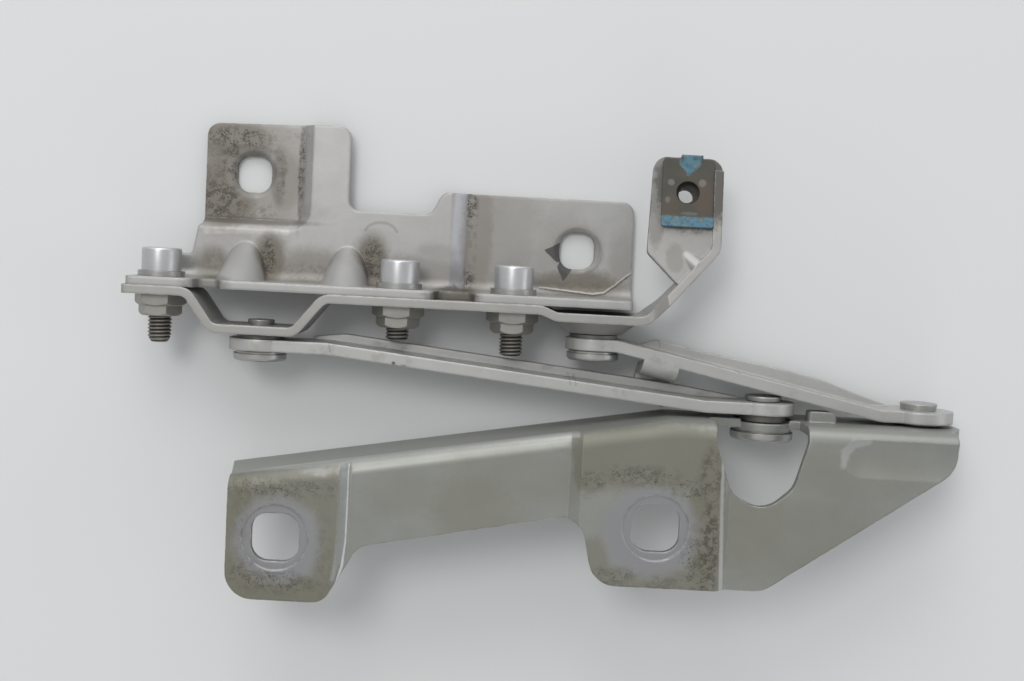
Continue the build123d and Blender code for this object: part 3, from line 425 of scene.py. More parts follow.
# Arcs: middle, reach along X and Y, first and last angle in degrees, number of points; and
# the strokes along them: half widths, soft border and raggedness
ARCH = ((46.0, -18.2), (5.6, 3.6), 170.0, 10.0, 7)
ARCH_LINE = ((0.15,) * 7, 0.6, 0.4)
# Painted shade along the rear hole's sunken rim, on its right and lower side
RIM_SHADE = ((115.2, -21.1), (8.4, 8.4), 40.0, -115.0, 11)
RIM_SHADE_LINE = ((0.1, 0.15, 0.2, 0.25, 0.3, 0.35, 0.3, 0.25, 0.2, 0.15, 0.1), 0.7, 0.6)

# Marks of one kind at their heights
BODY_HAZE_AND_SHADE = ((BODY_PAD_Z, PAD_HAZE), (BODY_FACE_Z, FACE_HAZE_AND_SHADE), (BODY_PAD_Z, REAR_HAZE))
BODY_SPECKLES = (
    (BODY_PAD_Z, PAD_SPECKLES), (BODY_FACE_Z, FACE_SPECKLES), (BODY_PAD_Z, REAR_SPECKLES),
)
PAD_OLIVE = ((BONNET_PAD_Z, FRONT_OLIVE), (BONNET_PAD_Z, REAR_OLIVE))
BONNET_DOTS = ((BONNET_PAD_Z, FRONT_DOTS), (BONNET_PAD_Z, REAR_DOTS))

# Bolts: points round, steps over the head's edge, rings in one turn of thread, and how far
# below the seat the thread starts, as a share of its pitch
ROUND_POINTS = 48
EDGE_STEPS = 6
TURN_RINGS = 10
THREAD_START = 0.2

# The thread's saw: where in a turn its crest is, its value there and how steeply it falls from
# it; 1 is full
SAW_MIDDLE = 0.5
SAW_TOP = 1.25
SAW_SLOPE = 2.5

# The socket's floor closes to this share of its width; its mouth's bevel and the tip's last
# ring are in metres
SOCKET_SIDES = 6
FLOOR_SHARE = 0.02
MOUTH_BEVEL = 0.0003
TIP_POINT = 0.0001

# Edges that turn by more than this stay sharp
SHARP_ANGLE = math.radians(38.0)

# Lights: name, place and side in metres, and colour; all look at the object's middle
NEUTRAL = (1.0, 0.99, 0.98)
COOL = (0.95, 0.97, 1.0)
LIGHT_TARGET = (0.1, -0.06, 0.0)
LIGHTS = (
    ("overhead", (-0.25, 0.44, 1.25), 0.45, NEUTRAL),
    ("window", (-0.1, 1.2, 0.9), 0.6, NEUTRAL),
    ("side", (1.2, -0.1, 0.45), 0.5, COOL),
    ("fill", (0.4, -1.2, 0.45), 0.6, NEUTRAL),
)
AIR_TONE = (0.985, 0.99, 1.0, 1.0)

# The table: half its side in metres, points along it, roughness and gloss
FLOOR_REACH = 2.5
FLOOR_POINTS = 3
FLOOR_ROUGH = 0.9
FLOOR_GLOSS = 0.1

# The camera's sensor in millimetres, and the nearest distance that it sees in metres
SENSOR_WIDTH = 36.0
NEAR_LIMIT = 0.01


# Settings

# What all lengths have in common, and what all colours have
LENGTH = {"subtype": "DISTANCE", "unit": "LENGTH"}
COLOUR = {"subtype": "COLOR", "size": 3}


class HingePaint(bpy.types.PropertyGroup):
    """Colours and wear of the painted sheets, with the tones of their painted shade."""

    body_tone: bpy.props.FloatVectorProperty(
        name="Body paint", description="Colour of the body bracket",
        default=(0.35, 0.347, 0.338), **COLOUR)
    plate_tone: bpy.props.FloatVectorProperty(
        name="Plate paint", description="Colour of the pivot plate",
        default=(0.312, 0.307, 0.294), **COLOUR)
    link_tone: bpy.props.FloatVectorProperty(
        name="Link paint", description="Colour of the two links",
        default=(0.4, 0.4, 0.388), **COLOUR)
    bonnet_tone: bpy.props.FloatVectorProperty(
        name="Bonnet paint", description="Colour of the bonnet bracket",
        default=(0.25, 0.256, 0.236), **COLOUR)
    olive_tone: bpy.props.FloatVectorProperty(
        name="Olive haze", description="Thin overspray round the bonnet holes",
        default=(0.158, 0.152, 0.112), **COLOUR)
    ring_tone: bpy.props.FloatVectorProperty(
        name="Rubbed ring", description="Bare ring left by the bonnet screws",
        default=(0.248, 0.25, 0.264), **COLOUR)
    # Also the colour of painted shade: under the front pad's fold, round the rear hole and in the
    # links' creases
    grime_and_shade_tone: bpy.props.FloatVectorProperty(
        name="Grime", description="Colour of the dirt", default=(0.058, 0.051, 0.042), **COLOUR)
    # Also the colour of the painted shade on the body bracket's darts
    brown_and_shade_tone: bpy.props.FloatVectorProperty(
        name="Brown haze", description="Colour of thin road dirt and rust",
        default=(0.135, 0.114, 0.082), **COLOUR)
    edge_round: bpy.props.FloatProperty(
        name="Edge round", description="Radius that the light sees on sheet edges",
        default=0.0009, min=0.0, **LENGTH)
    press_round: bpy.props.FloatProperty(
        name="Press round", description="Radius that the light sees on the pressed steps",
        default=0.0013, min=0.0, **LENGTH)


class HingeHardware(bpy.types.PropertyGroup):
    """Sizes of the threaded bolts."""

    head_radius: bpy.props.FloatProperty(
        name="Head radius", description="Radius of the bolt's head", default=0.0067, **LENGTH)
    head_height: bpy.props.FloatProperty(
        name="Head height", description="Height of the bolt's head", default=0.0079, **LENGTH)
    head_edge: bpy.props.FloatProperty(
        name="Head edge", description="Round at the head's outer edge", default=0.0009, **LENGTH)
    socket: bpy.props.FloatProperty(
        name="Socket", description="Radius of the socket's corners", default=0.0034, **LENGTH)
    socket_depth: bpy.props.FloatProperty(
        name="Socket depth", description="Depth of the socket", default=0.0044, **LENGTH)
    crest: bpy.props.FloatProperty(
        name="Thread crest", description="Outer radius of the thread", default=0.004, **LENGTH)
    pitch: bpy.props.FloatProperty(
        name="Thread pitch", description="Distance from one turn to the next",
        default=0.00125, **LENGTH)
    thread_depth: bpy.props.FloatProperty(
        name="Thread depth", description="Depth of the groove", default=0.00072, **LENGTH)
    long_tip: bpy.props.FloatProperty(
        name="Long tip", description="Length of the first bolt's domed tip",
        default=0.003, **LENGTH)
    short_tip: bpy.props.FloatProperty(
        name="Short tip", description="Length of the other bolts' tips", default=0.001, **LENGTH)
    tip_inset: bpy.props.FloatProperty(
        name="Tip inset", description="How much a tip's end is narrower than the thread",
        default=0.0014, **LENGTH)


class HingeStage(bpy.types.PropertyGroup):
    """Camera, light and floor."""

    lens: bpy.props.FloatProperty(
        name="Lens", description="Focal length for a 36 mm wide sensor, in millimetres", default=45.7)
    camera_place: bpy.props.FloatVectorProperty(
        name="Camera place", description="Where the camera stands", subtype="TRANSLATION",
        unit="LENGTH", size=3, default=(0.09388, -0.02167, 0.464))
    camera_tilt: bpy.props.FloatProperty(
        name="Camera tilt", description="Lean of the view off the vertical",
        subtype="ANGLE", unit="ROTATION", default=math.radians(4.0))
    camera_roll: bpy.props.FloatProperty(
        name="Camera roll", description="Turn of the picture",
        subtype="ANGLE", unit="ROTATION", default=math.radians(3.0))
    floor_z: bpy.props.FloatProperty(
        name="Floor height", description="Height of the table", default=-0.0002, **LENGTH)
    floor_tone: bpy.props.FloatVectorProperty(
        name="Floor", description="Colour of the table", default=(0.62, 0.628, 0.632), **COLOUR)
    overhead_power: bpy.props.FloatProperty(
        name="Overhead light", description="Power of the light above, in watts", default=5.2)
    window_power: bpy.props.FloatProperty(
        name="Window light", description="Power of the light from +Y, in watts", default=4.2)
    side_power: bpy.props.FloatProperty(
        name="Side light", description="Power of the low light from +X, in watts", default=1.0)
    fill_power: bpy.props.FloatProperty(
        name="Fill light", description="Power of the low light from -Y, in watts", default=1.6)
    window_strength: bpy.props.FloatProperty(
        name="Horizon", description="Extra ambient light from the bright wall at +Y", default=1.6)
    world_strength: bpy.props.FloatProperty(
        name="Ambient", description="Strength of the even light from all round", default=0.6)


# Node helpers


def new_nodes(material):
    """An empty node tree for a material, with its output and a Principled node."""
    material.use_nodes = True
    tree = material.node_tree
    tree.nodes.clear()
    output = tree.nodes.new("ShaderNodeOutputMaterial")
    shader = tree.nodes.new("ShaderNodeBsdfPrincipled")
    tree.links.new(shader.outputs["BSDF"], output.inputs["Surface"])
    return tree, shader


def put(tree, source, socket):
    """Feeds a socket from another socket, or sets it to a constant."""
    if isinstance(source, bpy.types.NodeSocket):
        tree.links.new(source, socket)
    else:
        socket.default_value = source


def math_node(tree, operation, first, second, clamp=False):
    """One Math node."""
    node = tree.nodes.new("ShaderNodeMath")
    node.operation = operation
    node.use_clamp = clamp
    put(tree, first, node.inputs[0])
    put(tree, second, node.inputs[1])
    return node.outputs[0]


def mix_colour(tree, factor, first, second):
    """One colour Mix node."""
    node = tree.nodes.new("ShaderNodeMix")
    node.data_type = "RGBA"
    put(tree, factor, node.inputs["Factor"])
    for name, colour in (("A", first), ("B", second)):
        socket = [s for s in node.inputs if s.name == name and s.type == "RGBA"][0]
        if not isinstance(colour, bpy.types.NodeSocket):
            colour = (*colour, 1.0)
        put(tree, colour, socket)
    return [s for s in node.outputs if s.type == "RGBA"][0]


def remap(tree, value, low, high, to_low=0.0, to_high=1.0):
    """Smooth step from one range to another."""
    node = tree.nodes.new("ShaderNodeMapRange")
    node.interpolation_type = "SMOOTHSTEP"
    put(tree, value, node.inputs["Value"])
    put(tree, low, node.inputs["From Min"])
    put(tree, high, node.inputs["From Max"])
    put(tree, to_low, node.inputs["To Min"])
    put(tree, to_high, node.inputs["To Max"])
    return node.outputs["Result"]


def vector_node(tree, operation, first, second, output="Vector"):
    """One Vector Math node with two inputs."""
    node = tree.nodes.new("ShaderNodeVectorMath")
    node.operation = operation
    put(tree, first, node.inputs[0])
    put(tree, second, node.inputs[1])
    return node.outputs[output]


def scaled(tree, vector, factor):
    """A vector or a colour times a number."""
    node = tree.nodes.new("ShaderNodeVectorMath")
    node.operation = "SCALE"
    put(tree, vector, node.inputs[0])
    put(tree, factor, node.inputs["Scale"])
    return node.outputs["Vector"]


def object_place(tree):
    """The point's place in the row frame, in millimetres."""
    coordinates = tree.nodes.new("ShaderNodeTexCoord")
    return scaled(tree, coordinates.outputs["Object"], 1.0 / MM)


def noise(tree, place, size, detail, roughness):
    """Noise with features of a size in millimetres, which may be a socket."""
    node = tree.nodes.new("ShaderNodeTexNoise")
    node.inputs["Detail"].default_value = detail
    node.inputs["Roughness"].default_value = roughness
    put(tree, place, node.inputs["Vector"])
    if isinstance(size, bpy.types.NodeSocket):
        tree.links.new(math_node(tree, "DIVIDE", 1.0, size), node.inputs["Scale"])
    else:
        node.inputs["Scale"].default_value = 1.0 / size
    return node.outputs["Fac"]


def wobble(tree, place, kind, amount):
    """Noise about zero, which makes a border ragged."""
    centred = math_node(tree, "SUBTRACT", noise(tree, place, *kind), NOISE_MIDDLE)
    return math_node(tree, "MULTIPLY", centred, amount)


def new_group(name, vectors, numbers, results):
    """An empty node group that takes vectors and numbers and gives numbers."""
    group = bpy.data.node_groups.new(name, "ShaderNodeTree")
    sockets = [(label, "INPUT", "NodeSocketVector") for label in vectors]
    sockets += [(label, "INPUT", "NodeSocketFloat") for label in numbers]
    sockets += [(label, "OUTPUT", "NodeSocketFloat") for label in results]
    for label, side, kind in sockets:
        group.interface.new_socket(name=label, in_out=side, socket_type=kind)
    entry = group.nodes.new("NodeGroupInput").outputs
    leave = group.nodes.new("NodeGroupOutput").inputs
    return group, entry, leave


def use_group(tree, name, place, values):
    """A group node with its inputs set or fed."""
    node = tree.nodes.new("ShaderNodeGroup")
    node.node_tree = bpy.data.node_groups[name]
    put(tree, place, node.inputs["Place"])
    for label, value in values.items():
        put(tree, value, node.inputs[label])
    return node.outputs


def make_spot_group():
    """Group: a mask that is 1 inside an ellipsoid and fades out, with a ragged edge."""
    group, entry, leave = new_group(
        "hinge_spot", ("Place", "Centre", "Size"), ("Ragged", "Fade"), ("Mask",))
    offset = vector_node(group, "SUBTRACT", entry["Place"], entry["Centre"])
    ratio = vector_node(group, "DIVIDE", offset, entry["Size"])
    length = group.nodes.new("ShaderNodeVectorMath")
    length.operation = "LENGTH"
    group.links.new(ratio, length.inputs[0])
    ragged = wobble(group, entry["Place"], SPOT_NOISE, entry["Ragged"])
    distance = math_node(group, "ADD", length.outputs["Value"], ragged)
    outer = math_node(group, "ADD", 1.0, entry["Fade"])
    group.links.new(remap(group, distance, 1.0, outer, 1.0, 0.0), leave["Mask"])


def make_mottle_group():
    """Group: slow cloudiness and fine grain for painted sheet."""
    group, entry, leave = new_group(
        "hinge_mottle", ("Place",), ("Cloud size", "Amount"), ("Tone", "Grain"))
    cloud = noise(group, entry["Place"], entry["Cloud size"], *CLOUD_NOISE)
    grain = noise(group, entry["Place"], *GRAIN_NOISE)
    clouded = math_node(group, "MULTIPLY", cloud, CLOUD_SHARE)
    grained = math_node(group, "MULTIPLY", grain, 1.0 - CLOUD_SHARE)
    value = math_node(group, "ADD", clouded, grained)
    centred = math_node(group, "SUBTRACT", value, NOISE_MIDDLE)
    change = math_node(group, "MULTIPLY", centred, entry["Amount"])
    group.links.new(math_node(group, "ADD", change, 1.0), leave["Tone"])
    group.links.new(grain, leave["Grain"])


def make_speckle_group():
    """Group: fine dots, as dense as the region's mask asks for."""
    group, entry, leave = new_group(
        "hinge_speckle", ("Place",), ("Region", "Dot size"), ("Mask",))
    dots = noise(group, entry["Place"], entry["Dot size"], *DOT_NOISE)
    clumps = remap(group, noise(group, entry["Place"], *CLUMP_NOISE), *CLUMP_RANGE)
    region = math_node(group, "MULTIPLY", entry["Region"], clumps)
    lowered = math_node(group, "MULTIPLY", region, DOT_RANGE)
    threshold = math_node(group, "SUBTRACT", DOT_RARE, lowered)
    full = math_node(group, "ADD", threshold, DOT_EDGE)
    mask = remap(group, dots, threshold, full)
    inside = remap(group, region, *REGION_RANGE)
    group.links.new(math_node(group, "MULTIPLY", mask, inside), leave["Mask"])


def make_streak_group():
    """Group: a ragged tapering stroke from one point to another, seen along its flat axis."""
    group, entry, leave = new_group(
        "hinge_streak", ("Place", "Start", "Run"),
        ("Start width", "End width", "Soft", "Ragged"), ("Mask",))
    offset = vector_node(group, "SUBTRACT", entry["Place"], entry["Start"])
    offset = vector_node(group, "MULTIPLY", offset, PLAN)
    along = vector_node(group, "DOT_PRODUCT", offset, entry["Run"], "Value")
    length = vector_node(group, "DOT_PRODUCT", entry["Run"], entry["Run"], "Value")
    share = math_node(group, "DIVIDE", along, length, clamp=True)
    nearest = scaled(group, entry["Run"], share)
    away = vector_node(group, "DISTANCE", offset, nearest, "Value")
    ragged = wobble(group, entry["Place"], STREAK_NOISE, entry["Ragged"])
    distance = math_node(group, "ADD", away, ragged)
    growth = math_node(group, "SUBTRACT", entry["End width"], entry["Start width"])
    grown = math_node(group, "MULTIPLY", growth, share)
    width = math_node(group, "ADD", entry["Start width"], grown)
    outer = math_node(group, "ADD", width, entry["Soft"])
    group.links.new(remap(group, distance, width, outer, 1.0, 0.0), leave["Mask"])


def mottle(tree, place, cloud_size, amount):
    """Tone and grain of a painted sheet."""
    made = use_group(tree, "hinge_mottle", place, {"Cloud size": cloud_size, "Amount": amount})
    return made["Tone"], made["Grain"]


def speckle(tree, place, region):
    """Fine dots where the region's mask is."""
    return use_group(
        tree, "hinge_speckle", place, {"Region": region, "Dot size": DOT_SIZE})["Mask"]


def spot(tree, place, centre, size, ragged, fade):
    """The mask of one spot, its centre and size in millimetres."""
    values = {"Centre": centre, "Size": size, "Ragged": ragged, "Fade": fade}
    return use_group(tree, "hinge_spot", place, values)["Mask"]


def strongest(tree, masks):
    """The largest of several masks."""
    total = masks[0]
    for mask in masks[1:]:
        total = math_node(tree, "MAXIMUM", total, mask)
    return total


def patches(tree, place, height, rows, border, depth=PATCH_DEPTH):
    """The strongest of several flat spots near one height.

    Each row is x, y, half width, half length and strength.
    """
    masks = []
    for x, y, half_width, half_length, strength in rows:
        size = (half_width, half_length, depth)
        mask = spot(tree, place, (x, y, height), size, *border)
        masks.append(math_node(tree, "MULTIPLY", mask, strength))
    return strongest(tree, masks)


def zones(tree, place, levels, border):
    """The strongest of patches at several heights; each level is a height and its rows."""
    return strongest(tree, [patches(tree, place, *level, border) for level in levels])


def rings(tree, place, rows):
    """Round zones about holes; each row is a middle, a height, a radius and a fade."""
    return strongest(tree, [
        spot(tree, place, (*middle, height), (radius, radius, PATCH_DEPTH), RING_RAGGED, fade)
        for middle, height, radius, fade in rows
    ])


def streaks(tree, place, points, widths, soft, ragged):
    """Strokes from each point to the next, with a half width at each point."""
    masks = []
    for start, end, start_width, end_width in zip(points, points[1:], widths, widths[1:]):
        values = {
            "Start": (*start, 0.0),
            "Run": (end[0] - start[0], end[1] - start[1], 0.0),
            "Start width": start_width,
            "End width": end_width,
            "Soft": soft,
            "Ragged": ragged,
        }
        masks.append(use_group(tree, "hinge_streak", place, values)["Mask"])
    return strongest(tree, masks)


def arc_points(middle, reach, first, last, steps):
    """Points along an arc from one angle to another, in degrees from +X towards +Y."""
    return [
        (middle[0] + reach[0] * math.cos(angle), middle[1] + reach[1] * math.sin(angle))
        for angle in np.linspace(math.radians(first), math.radians(last), steps)
    ]


def blotch(tree, place):
    """Soft clouds a millimetre or two wide that break up a dirty zone."""
    return remap(tree, noise(tree, place, *BLOTCH_NOISE), *BLOTCH_RANGE)


def upper(tree, place, mask):
    """A mask kept to the bonnet bracket's upper face, off the flange below it."""
    axes = tree.nodes.new("ShaderNodeSeparateXYZ")
    tree.links.new(place, axes.inputs["Vector"])
    height = remap(tree, axes.outputs["Z"], FLANGE_Z, FLANGE_Z + FLANGE_FADE)
    return math_node(tree, "MULTIPLY", mask, height)


def edge_wear_and_highlight(tree, place):
    """Mask along the sheets' edges, broken up by noise: pale wear and a painted highlight."""
    rounded = tree.nodes.new("ShaderNodeBevel")
    rounded.samples = WEAR_AND_HIGHLIGHT_RAYS
    rounded.inputs["Radius"].default_value = WEAR_AND_HIGHLIGHT_REACH
    flat = tree.nodes.new("ShaderNodeNewGeometry")
    turned = vector_node(
        tree, "DOT_PRODUCT", rounded.outputs["Normal"], flat.outputs["Normal"], "Value")
    breaks = remap(tree, noise(tree, place, *EDGE_NOISE), *EDGE_BREAKS)
    return math_node(tree, "MULTIPLY", remap(tree, turned, *EDGE_TURN), breaks)


def soft_normal(tree, shader, grain, radius, strength):
    """Rounds the edges for the light and adds fine grain to the surface."""
    bevel = tree.nodes.new("ShaderNodeBevel")
    bevel.samples = ROUND_RAYS
    bevel.inputs["Radius"].default_value = radius
    bump = tree.nodes.new("ShaderNodeBump")
    bump.inputs["Strength"].default_value = strength
    bump.inputs["Distance"].default_value = GRAIN_DEPTH
    tree.links.new(grain, bump.inputs["Height"])
    tree.links.new(bevel.outputs["Normal"], bump.inputs["Normal"])
    tree.links.new(bump.outputs["Normal"], shader.inputs["Normal"])


def coats(tree, colour, rows):
    """A colour with others laid over it; each row is a mask, a colour and how much it covers."""
    for mask, tone, cover in rows:
        colour = mix_colour(tree, math_node(tree, "MULTIPLY", mask, cover), colour, tone)
    return colour


# Materials


def start_material(name):
    """A material with its node tree, its shader and the place of each point."""
    material = bpy.data.materials.new("hinge_" + name)
    tree, shader = new_nodes(material)
    return material, tree, shader, object_place(tree)


def finish_paint(tree, shader, colour, grain, dirt_and_shade, edge_round,
                 clean_rough=PAINT_ROUGH, metallic=SHEET_METAL):
    """Joins a sheet's colour to its shader, duller where it is dirty or carries painted shade, with
    soft edges that are pale from wear and a painted highlight.
    """
    marked = edge_wear_and_highlight(tree, object_place(tree))
    put(tree, coats(tree, colour, ((marked, *EDGE_WEAR_AND_HIGHLIGHT_COAT),)), shader.inputs["Base Color"])
    shader.inputs["Metallic"].default_value = metallic
    rough = remap(tree, dirt_and_shade, 0.0, 1.0, clean_rough, DIRTY_ROUGH)
    put(tree, rough, shader.inputs["Roughness"])
    soft_normal(tree, shader, grain, edge_round, PAINT_GRAIN)


def body_paint(settings):
    """Grey paint of the body bracket with brown haze, dark specks, peeled spots and a crack, painted
    highlights on its ridge, folds and crack, and painted shade on its darts, pad fold and rear hole.
    """
    material, tree, shader, place = start_material("body_paint")
    tone, grain = mottle(tree, place, *BODY_MOTTLE)
    # Brown haze, with painted shade on the darts' shaded sides
    haze = zones(tree, place, BODY_HAZE_AND_SHADE, HAZY)
    specks = speckle(tree, place, zones(tree, place, BODY_SPECKLES, DOTTED))
    dirty = zones(tree, place, BODY_SPECKLES, HAZY)
    blotches = math_node(tree, "MULTIPLY", dirty, blotch(tree, place))
    peeled = strongest(tree, [
        streaks(tree, place, *FIRST_PEEL), streaks(tree, place, *SECOND_PEEL)])
    # The pressed steps' pale bands are painted highlights
    slope_highlight = math_node(tree, "MULTIPLY", streaks(tree, place, *PAD_SLOPE_HIGHLIGHT), PAD_SLOPE_HIGHLIGHT_SHARE)
    pressed = strongest(tree, [streaks(tree, place, *FOLD_HIGHLIGHT), slope_highlight])
    crack_widths = (CRACK_WIDTH,) * len(CRACK)
    # A pale painted highlight runs beside the crack, on its lifted side
    lit_side = [(x + CRACK_HIGHLIGHT_OFFSET[0], y + CRACK_HIGHLIGHT_OFFSET[1]) for x, y in CRACK]
    crack_highlight = streaks(tree, place, lit_side, crack_widths, *CRACK_LINE)
    crack = streaks(tree, place, CRACK, crack_widths, *CRACK_LINE)
    arch = streaks(tree, place, arc_points(*ARCH), *ARCH_LINE)
    rim_shade = streaks(tree, place, arc_points(*RIM_SHADE), *RIM_SHADE_LINE)
    shade = patches(tree, place, BODY_PAD_Z, PAD_SHADE, SHADED)
    dark_notches = patches(tree, place, NOTCH_Z, NOTCH_DARKENING, CLOUDY, NOTCH_DEPTH)
    colour = coats(tree, scaled(tree, settings.body_tone, tone), (
        (streaks(tree, place, *RIDGE_HIGHLIGHT), *RIDGE_HIGHLIGHT_COAT),
        (pressed, *PRESS_HIGHLIGHT_COAT),
        (arch, settings.brown_and_shade_tone, ARCH_COVER),
        (haze, settings.brown_and_shade_tone, HAZE_AND_SHADE_COVER),
        (blotches, settings.grime_and_shade_tone, BLOTCH_COVER),
        (shade, settings.grime_and_shade_tone, SHADE_COVER),
        (rim_shade, settings.grime_and_shade_tone, RIM_SHADE_COVER),
        (rings(tree, place, WASHER_RINGS), *WASHER_COAT),
        (specks, settings.grime_and_shade_tone, SPECK_COVER),
        (dark_notches, *NOTCH_COAT),
        (crack_highlight, *CRACK_HIGHLIGHT_COAT),
        (crack, settings.grime_and_shade_tone, CRACK_COVER),
        (peeled, *PEEL_COAT),
    ))
    dirt_and_shade = strongest(tree, [haze, specks, peeled])
    finish_paint(
        tree, shader, colour, grain, dirt_and_shade, settings.press_round, metallic=BODY_METAL)
    return material


def plate_paint(settings):
    """Satin grey paint of the pivot plate, with painted shade round the clip nut."""
    material, tree, shader, place = start_material("plate_paint")
    tone, grain = mottle(tree, place, *PLATE_MOTTLE)
    dirt_and_shade = patches(tree, place, CLIP_Z, TAB_SHADE, CRISP, TAB_DEPTH)
    colour = coats(tree, scaled(tree, settings.plate_tone, tone), ((dirt_and_shade, *TAB_SHADE_COAT),))
    finish_paint(tree, shader, colour, grain, dirt_and_shade, settings.edge_round)
    return material


def link_paint(settings):
    """Satin grey paint of the links, with a little brown dirt in its clouds and painted shade in its
    creases.
    """
    material, tree, shader, place = start_material("link_paint")
    tone, grain = mottle(tree, place, *LINK_MOTTLE)
    cloud = remap(tree, noise(tree, place, *LINK_NOISE), *LINK_CLOUDS)
    specks = speckle(tree, place, math_node(tree, "MULTIPLY", cloud, LINK_DOTS))
    crease_shade = strongest(tree, [
        streaks(tree, place, crease, *CREASE_SHADE_LINE) for crease in LINK_CREASES])
    nicks = patches(tree, place, LINK_Z, LINK_NICKS, CRISP, TAB_DEPTH)
    colour = coats(tree, scaled(tree, settings.link_tone, tone), (
        (cloud, settings.brown_and_shade_tone, CLOUD_COVER),
        (specks, settings.grime_and_shade_tone, LINK_SPECK_COVER),
        (crease_shade, settings.grime_and_shade_tone, CREASE_SHADE_COVER),
        (nicks, settings.grime_and_shade_tone, NICK_COVER),
    ))
    finish_paint(
        tree, shader, colour, grain, cloud, settings.edge_round, clean_rough=LINK_ROUGH)
    return material


def bonnet_paint(settings):
    """Greenish grey paint with an olive haze and rubbed rings round the two holes, and painted
    highlights and light along its bend, steps and valley.
    """
    material, tree, shader, place = start_material("bonnet_paint")
    tone, grain = mottle(tree, place, *BONNET_MOTTLE)
    olive = strongest(tree, [
        zones(tree, place, PAD_OLIVE, CLOUDY),
        patches(tree, place, BONNET_FACE_Z, FACE_OLIVE, HAZY),
    ])
    specks = speckle(tree, place, zones(tree, place, BONNET_DOTS, DOTTED))
    dirty = zones(tree, place, BONNET_DOTS, HAZY)
    smear = strongest(tree, [
        patches(tree, place, BONNET_PAD_Z, REAR_SMEAR, SMEARED),
        math_node(tree, "MULTIPLY", dirty, DOT_SMEAR_SHARE),
    ])
    smear = math_node(tree, "MULTIPLY", smear, blotch(tree, place))
    # Painted highlights along the bend and the rear step
    marked = strongest(tree, [streaks(tree, place, *BEND_HIGHLIGHT), streaks(tree, place, *REAR_STEP_HIGHLIGHT)])
    colour = coats(tree, scaled(tree, settings.bonnet_tone, tone), (
        (olive, settings.olive_tone, OLIVE_COVER),
        (rings(tree, place, BONNET_RINGS), settings.ring_tone, RING_COVER),
        (smear, settings.grime_and_shade_tone, SMEAR_COVER),
        (specks, settings.grime_and_shade_tone, DOT_COVER),
        (upper(tree, place, streaks(tree, place, *FRONT_SLOPE_LIGHT)), *SLOPE_LIGHT_COAT),
        (upper(tree, place, streaks(tree, place, *VALLEY_HIGHLIGHT)), *VALLEY_HIGHLIGHT_COAT),
        (upper(tree, place, marked), *BEND_HIGHLIGHT_COAT),
        (upper(tree, place, streaks(tree, place, *FRONT_STEP_HIGHLIGHT)), *STEP_HIGHLIGHT_COAT),
    ))
    finish_paint(tree, shader, colour, grain, olive, settings.edge_round)
    return material


def bare_metal(name):
    """Plain metal of the small pieces."""
    colour, roughness, metallic, cloud_size = METALS[name]
    material, tree, shader, place = start_material(name)
    tone, grain = mottle(tree, place, cloud_size, METAL_MOTTLE)
    put(tree, scaled(tree, colour, tone), shader.inputs["Base Color"])
    shader.inputs["Metallic"].default_value = metallic
    rough = remap(tree, grain, *GRAIN_RANGE, roughness + SMOOTHER, roughness + ROUGHER)
    put(tree, rough, shader.inputs["Roughness"])
    soft_normal(tree, shader, grain, METAL_ROUND, METAL_GRAIN)
    return material


def dull_threads(material):
    """Makes the bolts' zinc dull on their threads, with painted shade in the grooves."""
    tree = material.node_tree
    shader = tree.nodes["Principled BSDF"]
    zinc = shader.inputs["Base Color"].links[0].from_socket
    thread = tree.nodes.new("ShaderNodeAttribute")
    thread.attribute_name = THREAD
    groove = tree.nodes.new("ShaderNodeAttribute")
    groove.attribute_name = GROOVE
    colour = coats(tree, zinc, (
        (thread.outputs["Fac"], *THREAD_COAT),
        (groove.outputs["Fac"], *GROOVE_SHADE_COAT),
    ))
    put(tree, colour, shader.inputs["Base Color"])
    rough = remap(tree, thread.outputs["Fac"], 0.0, 1.0, HEAD_ROUGH, THREAD_ROUGH)
    put(tree, rough, shader.inputs["Roughness"])


def clip_metal():
    """Dull dark spring steel with blue paint on the clip's band and tongue."""
    material, tree, shader, place = start_material("clip_steel")
    tone, grain = mottle(tree, place, *CLIP_MOTTLE)
    blue = strongest(tree, [
        streaks(tree, place, *CLIP_BAND), streaks(tree, place, *CLIP_TONGUE)])
    marked = remap(tree, noise(tree, place, *CLIP_NOISE), *CLIP_WEAR, 1.0, CLIP_WORN)
    colour = coats(tree, scaled(tree, CLIP_TONE, tone), (
        (patches(tree, place, CLIP_Z, CLIP_RUST, RUSTY), *RUST_COAT),
        (math_node(tree, "MULTIPLY", blue, marked), *BLUE_COAT),
        (math_node(tree, "MULTIPLY", blue, blotch(tree, place)), *SCUFF_COAT),
        (patches(tree, place, CLIP_Z, CLIP_PALE, CRISP), *PALE_COAT),
    ))
    put(tree, colour, shader.inputs["Base Color"])
    shader.inputs["Metallic"].default_value = CLIP_METAL
    shader.inputs["Roughness"].default_value = CLIP_ROUGH
    soft_normal(tree, shader, grain, METAL_ROUND, CLIP_GRAIN)
    return material


class HINGE_OT_materials(bpy.types.Operator):
    """Makes the materials and puts them on the CAD nodes"""

    bl_idname = "hinge.materials"
    bl_label = "Dress the sheets"

    def execute(self, context):
        settings = context.scene.hinge_paint
        make_spot_group()
        make_mottle_group()
        make_speckle_group()
        make_streak_group()
        by_slot = {
            "body_paint": body_paint(settings),
            "plate_paint": plate_paint(settings),
            "link_paint": link_paint(settings),
            "bonnet_paint": bonnet_paint(settings),
            "clip_steel": clip_metal(),
            **{name: bare_metal(name) for name in METALS},
        }
        dull_threads(by_slot["bolt_zinc"])
        slots = {part["node"]: part["material_slot"] for part in frame["record"]["subparts"]}
        for name, node in frame["nodes"].items():
            node.data.materials.clear()
            node.data.materials.append(by_slot[slots[name]])
        return {"FINISHED"}


# Threaded bolts


